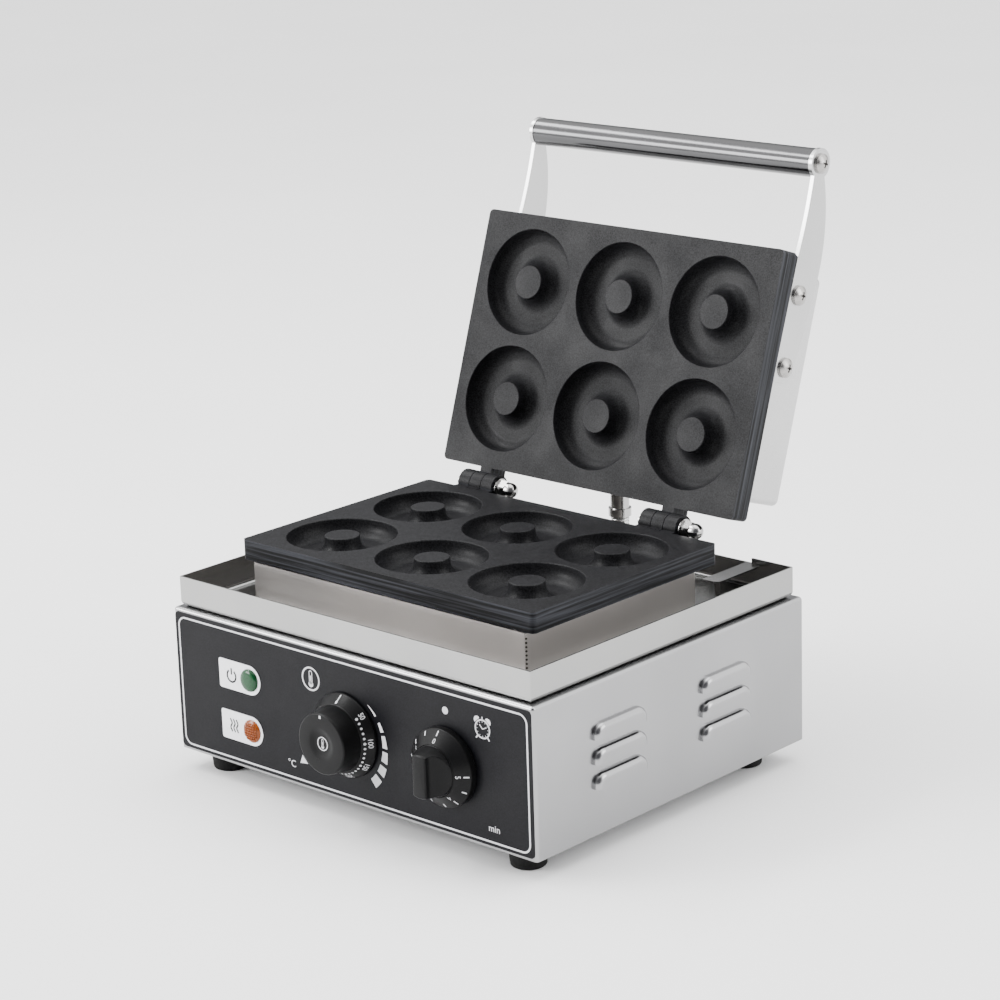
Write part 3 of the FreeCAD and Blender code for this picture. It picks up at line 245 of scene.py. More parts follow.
def coated_casting(name, base, lines, tilt=0.0):
    coat = Finish(name, base, metallic=0.0, roughness=0.42, specular_ior_level=0.095)
    grain = coat.noise(GRAIN_SCALE, detail=3)
    soft = coat.noise(SOFT_SCALE, detail=3)
    dark = tuple(value * 0.35 for value in base)
    light = tuple(value * 3.4 for value in base)
    if lines:
        streaks = coat.noise(LINE_SCALE, detail=4, stretch=LINE_STRETCH, tilt=tilt)
        scraped = tuple(value * 5 for value in base)
        coat.vary_colour(streaks, dark, scraped, low_at=0.42, high_at=0.66)
        coat.bump(streaks, LINE_HEIGHT, strength=0.5)
    else:
        coat.vary_colour(grain, dark, light)
    coat.vary_roughness(soft, 0.36, 0.5)
    coat.bump(grain, GRAIN_HEIGHT, strength=0.6)
    return coat.material


plate_coat = coated_casting("plate_coat", (0.0048, 0.0048, 0.0053), lines=False)
edge_coat = coated_casting("edge_coat", EDGE_GREY, lines=True)
lid_edge_coat = coated_casting("lid_edge_coat", EDGE_GREY, lines=True, tilt=LID_TILT)

# %% [markdown]
# ## Plastics, rubber, print and small metal
# The panel is a satin black film, the knobs are moulded black plastic a little lighter
# where the light catches their fine texture, and the feet are matt rubber. Hardware is
# plain polished steel, with a slight unevenness in its gloss from handling.

# %% Plastics and rubber
def moulded(name, colour, roughness, grain=1800, height=2e-5, spread=1.25):
    plastic = Finish(name, colour, roughness=roughness, specular_ior_level=0.11)
    texture = plastic.noise(grain, detail=2)
    plastic.vary_colour(texture, tuple(value / spread for value in colour),
                        tuple(value * spread for value in colour))
    plastic.vary_roughness(plastic.noise(60), roughness - 0.05, roughness + 0.06)
    plastic.bump(texture, height, strength=0.7)
    return plastic.material


panel_film = moulded("panel_film", (0.0042, 0.0042, 0.0054), 0.4, grain=1600, height=1e-5,
                     spread=1.6)
knob_plastic = moulded("knob_plastic", (0.0042, 0.0042, 0.0045), 0.32)
foot_rubber = moulded("foot_rubber", (0.008, 0.008, 0.008), 0.62, grain=900, height=5e-5)
case_plastic = moulded("case_plastic", (0.20, 0.19, 0.17), 0.5)
gland_plastic = moulded("gland_plastic", (0.025, 0.025, 0.027), 0.45)
insulation_board = moulded("insulation_board", (0.62, 0.58, 0.50), 0.85, grain=700, height=2e-4)
print_ink = moulded("print_ink", (0.62, 0.62, 0.64), 0.45, spread=1.04)
label_ink = moulded("label_ink", (0.012, 0.012, 0.013), 0.5, spread=1.1)


# %% Small metal parts and lenses
def polished(name, colour, roughness):
    metal = Finish(name, colour, metallic=1.0, roughness=roughness)
    wear = metal.noise(220, detail=4)
    metal.vary_roughness(wear, roughness * 0.7, roughness * 1.4)
    metal.bump(metal.noise(1500), 2e-6)
    return metal.material


hardware_steel = polished("hardware_steel", (0.38, 0.375, 0.37), 0.16)
screw_steel = polished("screw_steel", (0.34, 0.33, 0.32), 0.28)
element_steel = polished("element_steel", (0.20, 0.18, 0.16), 0.42)
copper_tube = polished("copper_tube", (0.70, 0.36, 0.20), 0.3)
reflector_sheet = polished("reflector_sheet", (0.72, 0.72, 0.72), 0.25)
hose_steel = polished("hose_steel", (0.50, 0.50, 0.49), 0.24)
label_silver = polished("label_silver", (0.78, 0.78, 0.80), 0.48)


def lens_plastic(name, colour, glow):
    lens = Finish(name, colour, roughness=0.16, specular_ior_level=0.35)
    lens.vary_colour(lens.noise(500), tuple(value * 0.85 for value in colour), colour)
    lens.set("Emission Color", (*colour, 1.0))
    lens.set("Emission Strength", glow)
    return lens.material


green_lens = lens_plastic("green_lens", (0.0005, 0.050, 0.012), 0.02)
amber_lens = lens_plastic("amber_lens", (0.24, 0.050, 0.002), 0.04)

# %% [markdown]
# ## Giving the carried-over pieces their finishes
# A CAD piece keeps its mesh; only its material slot changes. A table from finish to
# piece names is easier to read than an assignment after each material.

# %% Assign finishes
finishes = {
    housing_steel: ("housing_shell", "bottom_plate", "rear_panel"),
    tray_steel: ("drip_tray", "tray_strap_left", "tray_strap_right"),
    pedestal_steel_painted_light: ("pedestal",),
    cover_steel: ("lid_cover",),
    arm_steel: ("handle_arm_left", "handle_arm_right"),
    painted_dark_bar_steel: ("handle_bar",),
    foot_rubber: ("foot_front_left", "foot_front_right", "foot_rear_left", "foot_rear_right"),
    panel_film: ("control_panel",),
    knob_plastic: ("temperature_knob", "timer_knob", "bar_plugs"),
    case_plastic: ("thermostat_body", "timer_body", "terminal_block",
                   "power_lamp_body", "heat_lamp_body"),
    gland_plastic: ("mains_gland", "hose_gland"),
    insulation_board: ("lower_insulation", "upper_insulation"),
    hardware_steel: ("rear_panel_screws", "foot_screws", "hinge_bolt_left", "hinge_bolt_right",
                     "hinge_washers", "hinge_nuts", "lid_nipple", "upper_studs",
                     "plate_spacers", "thermostat_shaft", "timer_shaft"),
    screw_steel: ("bar_screws", "arm_screws"),
    element_steel: ("lower_element", "upper_element", "thermostat_bulb"),
    copper_tube: ("thermostat_capillary",),
    reflector_sheet: ("lower_reflector", "upper_reflector"),
    hose_steel: ("lid_hose",),
    label_silver: ("power_label", "heat_label"),
    green_lens: ("power_lens",),
    amber_lens: ("heat_lens",),
    plate_coat: ("lower_plate", "upper_plate"),
}
for material, names in finishes.items():
    for name in names:
        nodes[name].data.materials.clear()
        nodes[name].data.materials.append(material)
finished = {name for names in finishes.values() for name in names}
print("pieces without a finish:", sorted(set(nodes) - finished))

# %% [markdown]
# ### Machined sides on the plates
# The top of each plate is sprayed and its sides are machined, so the sides take the
# lined finish. A face belongs to a side when its normal lies in the plate's own plane
# and its centre is at the plate's outline. The lid stands open, so the upper plate's
# faces are first turned back about the hinge.

# %% Second finish on the plates' sides
PLATE_BACK, PLATE_FRONT = -11 * MM, -173 * MM
SIDE_MARGIN, BACK_MARGIN = 3 * MM, 1 * MM


def line_plate_sides(node, turned_by, coat):
    mesh = node.data
    mesh.materials.append(coat)
    turn = Matrix.Rotation(turned_by, 3, "X")
    centres = [turn @ (face.center - hinge) for face in mesh.polygons]
    side_x = max(centre.x for centre in centres)
    count = 0
    for face, centre in zip(mesh.polygons, centres):
        normal = turn @ face.normal
        upright = abs(normal.z) < 0.2
        at_side = abs(centre.x) > side_x - SIDE_MARGIN
        at_end = centre.y < PLATE_FRONT + SIDE_MARGIN or centre.y > PLATE_BACK - BACK_MARGIN
        if upright and (at_side or at_end):
            face.material_index = 1
            count += 1
    print(node.name, "has", count, "side faces")


line_plate_sides(nodes["lower_plate"], 0.0, edge_coat)
line_plate_sides(nodes["upper_plate"], open_angle, lid_edge_coat)

# %% [markdown]
# ## Building small meshes
# A few helpers cover the new pieces. A turned piece is a profile of radius and height
# swept round an axis, which is how the real knob's mould was turned. A print is a thin
# plate cut from an outline. Both come out as clean closed meshes. Everything on the
# panel is first drawn flat, with x across and y up, and then stood on the front face.

# %% Helpers for meshes
FRONT = Matrix(((1, 0, 0), (0, 0, -1), (0, 1, 0))).to_4x4()


def on_front(centre, proud=0.0):
    """Stand something drawn flat, in millimetres, on the panel at a point of its face."""
    place = Matrix.Translation((centre[0], PANEL_Y - proud, centre[1]))
    return place @ FRONT @ Matrix.Scale(MM, 4)


def made_mesh(name, mesh_data, turn_out=True):
    """Turn finished bmesh data into a mesh, with its faces turned out."""
    if turn_out:
        bmesh.ops.recalc_face_normals(mesh_data, faces=mesh_data.faces)
    mesh = bpy.data.meshes.new(name)
    mesh_data.to_mesh(mesh)
    mesh_data.free()
    return mesh


def wall(mesh_data, below, above):
    """Four-sided faces between two closed rings with the same number of points."""
    for step in range(len(below)):
        after = (step + 1) % len(below)
        mesh_data.faces.new((below[step], below[after], above[after], above[step]))


def finish_piece(name, mesh, material, body, crease=CREASE):
    piece = bpy.data.objects.new(name, mesh)
    bpy.context.scene.collection.objects.link(piece)
    mesh.materials.append(material)
    shade(piece, crease)
    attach(piece, body)
    return piece


def turned_mesh(name, profile, segments=128):
    """Sweep (radius, height) points round the z axis; a radius of 0 closes an end."""
    mesh_data = bmesh.new()
    rings = []
    for radius, height in profile:
        if radius < 1e-6:
            rings.append([mesh_data.verts.new((0, 0, height))])
            continue
        steps = [2 * math.pi * step / segments for step in range(segments)]
        rings.append([mesh_data.verts.new((radius * math.cos(a), radius * math.sin(a), height))
                      for a in steps])
    for below, above in zip(rings, rings[1:]):
        if len(below) > 1 and len(above) > 1:
            wall(mesh_data, below, above)
            continue
        for step in range(segments):
            after = (step + 1) % segments
            if len(below) == 1:
                mesh_data.faces.new((below[0], above[after], above[step]))
            else:
                mesh_data.faces.new((below[step], below[after], above[0]))
    return made_mesh(name, mesh_data)


def arc(centre, radius, start, end, steps=12):
    """Points of an arc, in degrees."""
    angles = [math.radians(start + (end - start) * step / steps) for step in range(steps + 1)]
    return [(centre[0] + radius * math.cos(a), centre[1] + radius * math.sin(a)) for a in angles]


def round_place(angle, radius):
    """The point at an angle and a radius about the middle."""
    return arc((0, 0), radius, angle, angle, 1)[0]


def open_band(outer, inner):
    """The faces between two open lines with the same number of points."""
    count = len(outer)
    faces = [(step, step + 1, count + step + 1, count + step) for step in range(count - 1)]
    return outer + inner, faces


def band(outer, inner):
    """The faces between two closed outlines with the same number of points."""
    count = len(outer)
    points = outer + inner
    faces = [(step, (step + 1) % count, count + (step + 1) % count, count + step)
             for step in range(count)]
    return points, faces


def plate_mesh(name, shapes, thickness):
    """Thin plates from shapes, each (points, faces), drawn flat in millimetres."""
    mesh_data = bmesh.new()
    for points, faces in shapes:
        corners = [mesh_data.verts.new((*point, 0)) for point in points]
        made = [mesh_data.faces.new([corners[index] for index in face]) for face in faces]
        risen = bmesh.ops.extrude_face_region(mesh_data, geom=made)
        top = [item for item in risen["geom"] if isinstance(item, bmesh.types.BMVert)]
        bmesh.ops.translate(mesh_data, verts=top, vec=(0, 0, thickness))
    return made_mesh(name, mesh_data)


def solid(points):
    """One filled outline as a shape."""
    return points, [tuple(range(len(points)))]


def join(name, meshes):
    """Several meshes as one; the ones it was made from are removed."""
    mesh_data = bmesh.new()
    for mesh in meshes:
        mesh_data.from_mesh(mesh)
    joined = made_mesh(name, mesh_data, turn_out=False)
    for mesh in meshes:
        bpy.data.meshes.remove(mesh)
    return joined


def stroke(start, end, width):
    """A straight bar between two points as a shape."""
    run = Vector(end) - Vector(start)
    side = Vector((-run.y, run.x)).normalized() * width / 2
    points = [Vector(start) + side, Vector(start) - side, Vector(end) - side, Vector(end) + side]
    return solid([tuple(point) for point in points])


def ring_shape(centre, radius, width, steps=48):
    """A round line as a shape."""
    outer = arc(centre, radius + width / 2, 0, 360, steps)[:-1]
    inner = arc(centre, radius - width / 2, 0, 360, steps)[:-1]
    return band(outer, inner)


def disc(centre, radius, steps=32):
    return solid(arc(centre, radius, 0, 360, steps)[:-1])


# %% [markdown]
# ## Border and signs on the panel
# The panel is screen-printed with a fine silver border, a thermometer sign, an alarm
# clock sign and a wedge that grows as the heat rises. Printed ink is a few hundredths
# of a millimetre thick, so each print is a real but very thin plate on the film. The
# film covers the front except for a narrow margin.

# %% Silver border
INK = 0.06
PRINT_LOW = PANEL_BOTTOM / MM
BORDER_HALF, BORDER_LOW, BORDER_HIGH = 141.0, 3.4, 85.2
BORDER_CORNER, BORDER_LINE = 6.0, 1.1


def rounded_outline(half_width, low, high, radius, steps=10):
    """A rectangle with round corners, centred across."""
    across = half_width - radius
    centres = [(across, high - radius), (-across, high - radius),
               (-across, low + radius), (across, low + radius)]
    outline = []
    for quarter, centre in enumerate(centres):
        outline += arc(centre, radius, 90 * quarter, 90 * quarter + 90, steps)
    return outline


def print_place(centre, proud=0.0):
    """Where a print stands: millimetres from the middle and the housing's underside."""
    return on_front((centre[0] * MM, (centre[1] + PRINT_LOW) * MM), proud)


def print_on_panel(name, shapes, centre=(0, 0), material=print_ink, proud=0.0):
    mesh = plate_mesh(name, shapes, INK)
    mesh.transform(print_place(centre, proud))
    return finish_piece(name, mesh, material, "base")


border = band(rounded_outline(BORDER_HALF, BORDER_LOW, BORDER_HIGH, BORDER_CORNER),
              rounded_outline(BORDER_HALF - BORDER_LINE, BORDER_LOW + BORDER_LINE,
                              BORDER_HIGH - BORDER_LINE, BORDER_CORNER - BORDER_LINE))
print_on_panel("panel_border", [border])
print("border drawn", round(2 * BORDER_HALF), "mm wide")

# %% Heat wedge beside the temperature knob
WEDGE_CENTRE = (0, 41)
WEDGE_INNER = 29.0
WEDGE_THIN, WEDGE_GROWTH = 0.3, 5.7
WEDGE_START, WEDGE_END = 51.0, -50.3
WEDGE_CUTS = [(51, 35), (27, 16), (12, -2), (-6, -18.5), (-23.3, -33.8), (-39, -50.3)]


def wedge_outer(angle):
    """The wedge widens steadily from its thin start."""
    share = (WEDGE_START - angle) / (WEDGE_START - WEDGE_END)
    return WEDGE_INNER + WEDGE_THIN + WEDGE_GROWTH * min(1.0, share * 1.15)


def wedge_piece(start, end, steps=8):
    angles = [start + (end - start) * step / steps for step in range(steps + 1)]
    outer = [round_place(angle, wedge_outer(angle)) for angle in angles]
    inner = [round_place(angle, WEDGE_INNER) for angle in angles]
    return open_band(outer, inner)


print_on_panel("heat_wedge", [wedge_piece(*cut) for cut in WEDGE_CUTS], WEDGE_CENTRE)


# %% [markdown]
# ### Thermometer and clock signs
# Both are drawn from strokes and rings. The thermometer sits in a circle and is used
# twice: on the panel and, smaller, in the middle of the temperature knob.

# %% Thermometer sign
def capsule(low, high, radius, steps=10):
    """An upright tube with round ends."""
    return arc((0, high), radius, 0, 180, steps) + arc((0, low), radius, 180, 360, steps)


def thermometer(size):
    """A thermometer in a circle whose radius is size."""
    tube = band([(x * size, y * size) for x, y in capsule(-0.28, 0.56, 0.2)],
                [(x * size, y * size) for x, y in capsule(-0.28, 0.56, 0.12)])
    bulb = disc((0, -0.46 * size), 0.28 * size)
    column = stroke((0, -0.4 * size), (0, 0.28 * size), 0.12 * size)
    return [ring_shape((0, 0), size, 0.15 * size), tube, bulb, column]


print_on_panel("thermometer_sign", thermometer(6.8), (-27.6, 69.3))

# %% Clock sign
CLOCK_RADIUS, CLOCK_LINE = 5.3, 0.8
BELL_RADIUS, BELL_GAP = 2.3, 0.8
HANDS = [(-2.2, 2.4), (2.9, 1.4)]


def alarm_clock():
    """A ring with two hands, twelve marks, two bells, two legs and a stem."""
    shapes = [ring_shape((0, 0), CLOCK_RADIUS, CLOCK_LINE)]
    shapes += [stroke((0, 0), tip, 0.55) for tip in HANDS]
    for angle in range(0, 360, 30):
        shapes.append(stroke(round_place(angle, 3.9), round_place(angle, 4.5), 0.35))
    for angle in (50, 130):
        foot = round_place(angle, CLOCK_RADIUS + BELL_GAP)
        shapes.append(solid(arc(foot, BELL_RADIUS, angle - 90, angle + 90, 14)))
        leg = -angle
        shapes.append(stroke(round_place(leg, CLOCK_RADIUS), round_place(leg, 7.8), 0.8))
    shapes.append(stroke((0, CLOCK_RADIUS), (0, 7.2), 0.6))
    return shapes


print_on_panel("clock_sign", alarm_clock(), (107.5, 69.5))
print_on_panel("timer_dot", [disc((0, 0), 2.2)], (79.5, 74.1))
print_on_panel("temperature_patch", [solid([(-3.4, -2.4), (3.0, -1.6), (-1.2, 3.0)])], (-36.5, 17))


# %% [markdown]
# ### Captions as units
# Words are left off. The places where the maker printed them carry plain units
# instead: degrees under the temperature knob and minutes under the timer. Blender's
# own font becomes a mesh, so the letters are geometry like the rest.

# %% Text helper
def text_mesh(name, words, height, thickness, spacing=1.0):
    """Words as a closed mesh, drawn flat and centred, in millimetres."""
    curve = bpy.data.curves.new(name, "FONT")
    curve.body = words
    curve.size = height * 1.4
    curve.space_character = spacing
    curve.align_x = "CENTER"
    curve.align_y = "CENTER"
    curve.extrude = thickness / 2
    curve.resolution_u = 3
    carrier = bpy.data.objects.new(name, curve)
    bpy.context.scene.collection.objects.link(carrier)
    bpy.context.view_layer.update()
    mesh = bpy.data.meshes.new_from_object(carrier.evaluated_get(
        bpy.context.evaluated_depsgraph_get()))
    bpy.data.objects.remove(carrier)
    bpy.data.curves.remove(curve)
    mesh.transform(Matrix.Translation((0, 0, thickness / 2)))
    mesh.materials.clear()
    return mesh


def caption(name, words, centre, height):
    mesh = text_mesh(name, words, height, INK)
    mesh.transform(print_place(centre))
    return finish_piece(name, mesh, print_ink, "base")


caption("degree_caption", "°C", (-47, 12.5), 4.4)
caption("minute_caption", "min", (114, 12), 4.2)

# %% [markdown]
# ## Lamp labels and lenses
# Each lamp sits in a silver label. A plain sign takes the place of words: a power
# sign on the upper one and three heat waves on the lower. The upper lens is a smooth
# shallow dome; the lower one is moulded with small squares, made here as a lower dome
# with a grid of little raised blocks whose tops follow the same curve.

# %% Signs on the labels
LABEL_PROUD = PANEL_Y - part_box("power_label")[0].y
LABEL_SIDE = -95.6
LENS_SIDE, POWER_HEIGHT, HEAT_HEIGHT = -80, 57, 25


def power_sign(size):
    """A ring open at the top with a bar in the opening."""
    ring = open_band(arc((0, 0), size, 125, 415, 40), arc((0, 0), size * 0.72, 125, 415, 40))
    return [ring, stroke((0, size * 0.2), (0, size * 1.15), size * 0.26)]


def heat_waves(size):
    """Three upright wavy lines."""
    shapes = []
    for column in (-1, 0, 1):
        points = []
        for step in range(13):
            height = (step / 12 - 0.5) * 2 * size
            sway = 0.16 * size * math.sin(height / size * 4.5)
            points.append((column * size * 0.62 + sway, height))
        shapes += [stroke(a, b, size * 0.25) for a, b in zip(points, points[1:])]
    return shapes


print_on_panel("power_sign", power_sign(4.3), (LABEL_SIDE, POWER_HEIGHT - 0.6), label_ink,
               LABEL_PROUD)
print_on_panel("heat_sign", heat_waves(4.1), (LABEL_SIDE, HEAT_HEIGHT), label_ink, LABEL_PROUD)


# %% Lenses
LENS_RADIUS, LENS_RISE, LENS_SKIRT = 7.0, 2.3, 0.4
SQUARE_PITCH, SQUARE_SIZE, SQUARE_DEPTH = 1.55, 1.25, 1.0
SQUARE_TAPER, SQUARE_EDGE = 0.8, 1.1
SUNK = 0.6


def dome_height(reach):
    """Height of the lens at a share of its radius."""
    return LENS_RISE * math.sqrt(max(0.0, 1 - reach ** 2.6))


def dome_mesh(name, sunk=0.0):
    """A round lens in millimetres, closed at the back; sunk lowers its face."""
    shares = [1 - step / 14 for step in range(15)]
    profile = [(0, -LENS_SKIRT), (LENS_RADIUS, -LENS_SKIRT)]
    profile += [(LENS_RADIUS * share, max(0.0, dome_height(share) - sunk)) for share in shares]
    return turned_mesh(name, profile, 96)


def lens_squares(name):
    """Small raised squares whose tops follow the dome."""
    mesh_data = bmesh.new()
    count = int(LENS_RADIUS / SQUARE_PITCH)
    for column in range(-count, count + 1):
        for row in range(-count, count + 1):
            centre = Vector((column * SQUARE_PITCH, row * SQUARE_PITCH))
            if centre.length > LENS_RADIUS - SQUARE_EDGE:
                continue
            corners = [centre + Vector((x, y)) * SQUARE_SIZE / 2
                       for x, y in ((-1, -1), (1, -1), (1, 1), (-1, 1))]
            tops = [dome_height(corner.length / LENS_RADIUS) for corner in corners]
            low = [mesh_data.verts.new((*corner, top - SQUARE_DEPTH))
                   for corner, top in zip(corners, tops)]
            high = [mesh_data.verts.new((*(centre + (corner - centre) * SQUARE_TAPER), top))
                    for corner, top in zip(corners, tops)]
            mesh_data.faces.new(high)
            mesh_data.faces.new(list(reversed(low)))
            wall(mesh_data, low, high)
    return made_mesh(name, mesh_data, turn_out=False)


def lens(name, node, centre, mesh, material, slot):
    mesh.transform(print_place(centre, LABEL_PROUD + LENS_SKIRT * MM))
    piece = finish_piece(name, mesh, material, "base")
    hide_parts(node)
    return piece


cut_dome = join("heat_lens_dome", [dome_mesh("dome", sunk=SUNK), lens_squares("squares")])
lens("power_lens_dome", "power_lens", (LENS_SIDE, POWER_HEIGHT), dome_mesh("power_lens_dome"),
     green_lens, "lens_green")
lens("heat_lens_dome", "heat_lens", (LENS_SIDE, HEAT_HEIGHT), cut_dome, amber_lens, "lens_amber")

# %% [markdown]
# ## Temperature knob
# The real knob is one moulding: a wide sloping skirt that carries the numbers and a
# tall round hub with a dished face. Its profile is swept round the axis. Edges get a
# few extra points, so that light catches them as it does on moulded plastic.

# %% Temperature knob body
RIM, HUB, CAP = 25.5, 19.8, 18.5
SKIRT_LOW, SKIRT_HIGH, FACE = 2.0, 8.6, 20.5
HUB_FOOT = HUB + 0.4
CAP_EDGE = 1.2
DISH, DISH_DEPTH, DISH_FLATNESS = 10.5, 1.3, 1.75
WEB_HEIGHT = 1.0
KNOB_CREASE = math.radians(40)


def skirt_height(radius, rim, foot, low, high):
    """Height of the sloping skirt at a radius."""
    return low + (high - low) * (rim - radius) / (rim - foot)


temperature_profile = [(0, WEB_HEIGHT), (16, 1.0), (16, 0.6), (RIM - 0.3, 0.6), (RIM, 0.9),
                       (RIM, SKIRT_LOW - 0.25)]
temperature_profile += [(radius, skirt_height(radius, RIM, HUB_FOOT, SKIRT_LOW, SKIRT_HIGH))
                        for radius in (RIM - 0.15, RIM - 0.4, HUB_FOOT + 0.5)]
temperature_profile += [(HUB_FOOT + 0.15, SKIRT_HIGH - 0.35), (HUB, SKIRT_HIGH - 0.3),
                        (HUB - 0.06, SKIRT_HIGH + 0.6)]
temperature_profile += arc((CAP - CAP_EDGE, FACE - CAP_EDGE), CAP_EDGE, 0, 90, 6)
for step in range(13):
    share = step / 12
    depth = DISH_DEPTH * 0.5 * (1 - math.cos(math.pi * min(1.0, share * DISH_FLATNESS)))
    temperature_profile.append((DISH * (1 - share), FACE - depth))
temperature_profile[-1] = (0, temperature_profile[-1][1])
dish_floor = temperature_profile[-1][1]


def knob_place(which):
    """Where a knob drawn flat about its axis stands."""
    centre = knob_centre[which]
    return on_front((centre.x, centre.z))


def place_knob(which, mesh, crease):
    """Stand a finished knob on its axis in place of the plain one."""
    mesh.transform(knob_place(which))
    body = finish_piece(mesh.name, mesh, knob_plastic, which + "_dial", crease)
    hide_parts(which + "_knob")


place_knob("temperature", turned_mesh("temperature_knob_body", temperature_profile),
           KNOB_CREASE)

# %% [markdown]
# ### Marks on a sloping skirt
# Marks are drawn flat round the axis and then lifted on to the cone, so they follow
# its slope. The scale starts with a long tick, goes round in dots every ten degrees,
# and has a number at every fifty.

# %% Marks on the temperature skirt
MARK = 0.07
MARK_SUNK = 0.01
DOT_RADIUS = 21.7


def turned_to(mesh, angle):
    """Turn a flat mesh clockwise about the axis by an angle in degrees."""
    mesh.transform(Matrix.Rotation(math.radians(-angle), 4, "Z"))
    return mesh


def lift_to_skirt(mesh, rim, foot, low, high):
    """Raise flat marks on to the sloping skirt."""
    for vert in mesh.vertices:
        radius = math.hypot(vert.co.x, vert.co.y)
        vert.co.z += skirt_height(radius, rim, foot, low, high) - MARK_SUNK
    return mesh


def number_at(words, radius, angle, height, squeeze=1.0):
    """A number whose foot points to the axis; squeeze allows for the slope it goes on."""
    mesh = text_mesh("number", words, height, MARK, spacing=0.95)
    mesh.transform(Matrix.Translation((0, radius, 0)) @ Matrix.Scale(squeeze, 4, (0, 1, 0)))
    return turned_to(mesh, angle)


def mark_at(shape, angle):
    return turned_to(plate_mesh("mark", [shape], MARK), angle)


def tick_at(inner, outer, angle, width=0.8):
    return mark_at(stroke((0, inner), (0, outer), width), angle)


SLOPE_SHARE = (RIM - HUB) / math.hypot(RIM - HUB, SKIRT_HIGH - SKIRT_LOW)
TEN_DEGREES = 8.0
FIRST_NUMBER = 47.0
marks = [tick_at(21.6, 24.9, 0), mark_at(disc((0, DOT_RADIUS), 0.75, 16), 0)]
for step in range(26):
    angle = FIRST_NUMBER + step * TEN_DEGREES
    size = 0.8 if step % 5 == 0 else 0.68
    dot = [(x, DOT_RADIUS + y * SLOPE_SHARE) for x, y in arc((0, 0), size, 0, 360, 16)[:-1]]
    marks.append(mark_at(solid(dot), angle))
for index, degrees in enumerate((50, 100, 150, 200, 250, 300)):
    marks.append(number_at(str(degrees), 23.7, FIRST_NUMBER + index * 5 * TEN_DEGREES, 3.0,
                           SLOPE_SHARE))


def place_marks(name, which, mesh):
    """Stand a knob's finished marks on its axis."""
    mesh.transform(knob_place(which))
    finish_piece(name, mesh, print_ink, which + "_dial")


place_marks("temperature_scale", "temperature",
            lift_to_skirt(join("temperature_scale", marks), RIM, HUB_FOOT, SKIRT_LOW, SKIRT_HIGH))

# %% Marks on the temperature knob's face
pointer = plate_mesh("pointer", [stroke((0, 15.6), (0, CAP - 1.1), 1.4)], MARK)
pointer.transform(Matrix.Translation((0, 0, FACE - 0.03)))
badge = plate_mesh("badge", thermometer(3.9), MARK)
badge.transform(Matrix.Translation((0, 0, dish_floor - 0.005)))
place_marks("temperature_face_marks", "temperature",
            join("temperature_face_marks", [pointer, badge]))

# %% [markdown]
# ## Timer knob
# The timer's hub narrows from a round foot to an upright finger grip. That is a loft:
# rings of the same number of points are blended from a circle to a rounded bar, and
# the blend runs faster near the foot, which makes the hollow cheeks either side.

# %% Timer knob body
TIMER_RIM, TIMER_HUB = 23.2, 14.7
TIMER_LOW, TIMER_HIGH, TIMER_FACE = 5.0, 11.6, 23.0
GRIP_HALF, GRIP_REACH = 4.9, 12.8
GRIP_EDGE, GRIP_STEPS = 0.7, 16
RING_POINTS = 128
TIMER_FOOT = TIMER_HUB + 0.5
TIMER_CREASE = math.radians(35)


def grip_outline(share, shrink=0.0):
    """Blend from the hub's circle to the grip: share is 0 at the foot and 1 at the face."""
    width = GRIP_HALF + (TIMER_HUB - GRIP_HALF) * (1 - share) ** 2.6 - shrink
    reach = TIMER_HUB + (GRIP_REACH - TIMER_HUB) * share - shrink
    points = []
    for step in range(RING_POINTS):
        at = 2 * math.pi * step / RING_POINTS
        across, along = math.cos(at) * reach, math.sin(at) * reach
        squeeze = max(-width, min(width, across))
        points.append((squeeze, along))
    return points


def timer_mesh():
    """Rings from the back of the skirt up to the grip's face, joined and closed."""
    mesh_data = bmesh.new()
    rings = []

    def circle(radius, height):
        rings.append([mesh_data.verts.new((x, y, height)) for x, y in
                      arc((0, 0), radius, 0, 360, RING_POINTS)[:-1]])

    for radius, height in ((TIMER_RIM - 0.4, 0.6), (TIMER_RIM, 1.0), (TIMER_RIM, TIMER_LOW - 0.3)):
        circle(radius, height)
    for radius in (TIMER_RIM - 0.15, TIMER_RIM - 0.4, TIMER_FOOT + 0.3):
        circle(radius, skirt_height(radius, TIMER_RIM, TIMER_FOOT, TIMER_LOW, TIMER_HIGH))
    circle(TIMER_HUB + 0.25, TIMER_HIGH - 0.45)
    circle(TIMER_HUB, TIMER_HIGH - 0.3)
    for step in range(GRIP_STEPS + 1):
        share = step / GRIP_STEPS
        height = TIMER_HIGH + (TIMER_FACE - GRIP_EDGE - TIMER_HIGH) * share
        rings.append([mesh_data.verts.new((x, y, height)) for x, y in grip_outline(share)])
    for shrink, drop in ((0.2, 0.3), (0.45, 0.08), (0.75, 0.0)):
        rings.append([mesh_data.verts.new((x, y, TIMER_FACE - drop))
                      for x, y in grip_outline(1.0, shrink)])
    for below, above in zip(rings, rings[1:]):
        wall(mesh_data, below, above)
    mesh_data.faces.new(rings[-1])
    mesh_data.faces.new(list(reversed(rings[0])))
    bmesh.ops.remove_doubles(mesh_data, verts=mesh_data.verts, dist=1e-4)
    return made_mesh("timer_knob_body", mesh_data)


place_knob("timer", timer_mesh(), TIMER_CREASE)

# %% Marks on the timer skirt
MINUTE = -54.0
timer_marks = []
for half_minute in range(11):
    angle = MINUTE * half_minute / 2
    whole = half_minute % 2 == 0
    timer_marks.append(tick_at(19.8 if whole else 20.1, 22.3, angle))
    if whole:
        timer_marks.append(number_at(str(half_minute // 2), 17.3, angle, 2.9, 0.8))
place_marks("timer_scale", "timer",
            lift_to_skirt(join("timer_scale", timer_marks), TIMER_RIM, TIMER_FOOT, TIMER_LOW,
                          TIMER_HIGH))

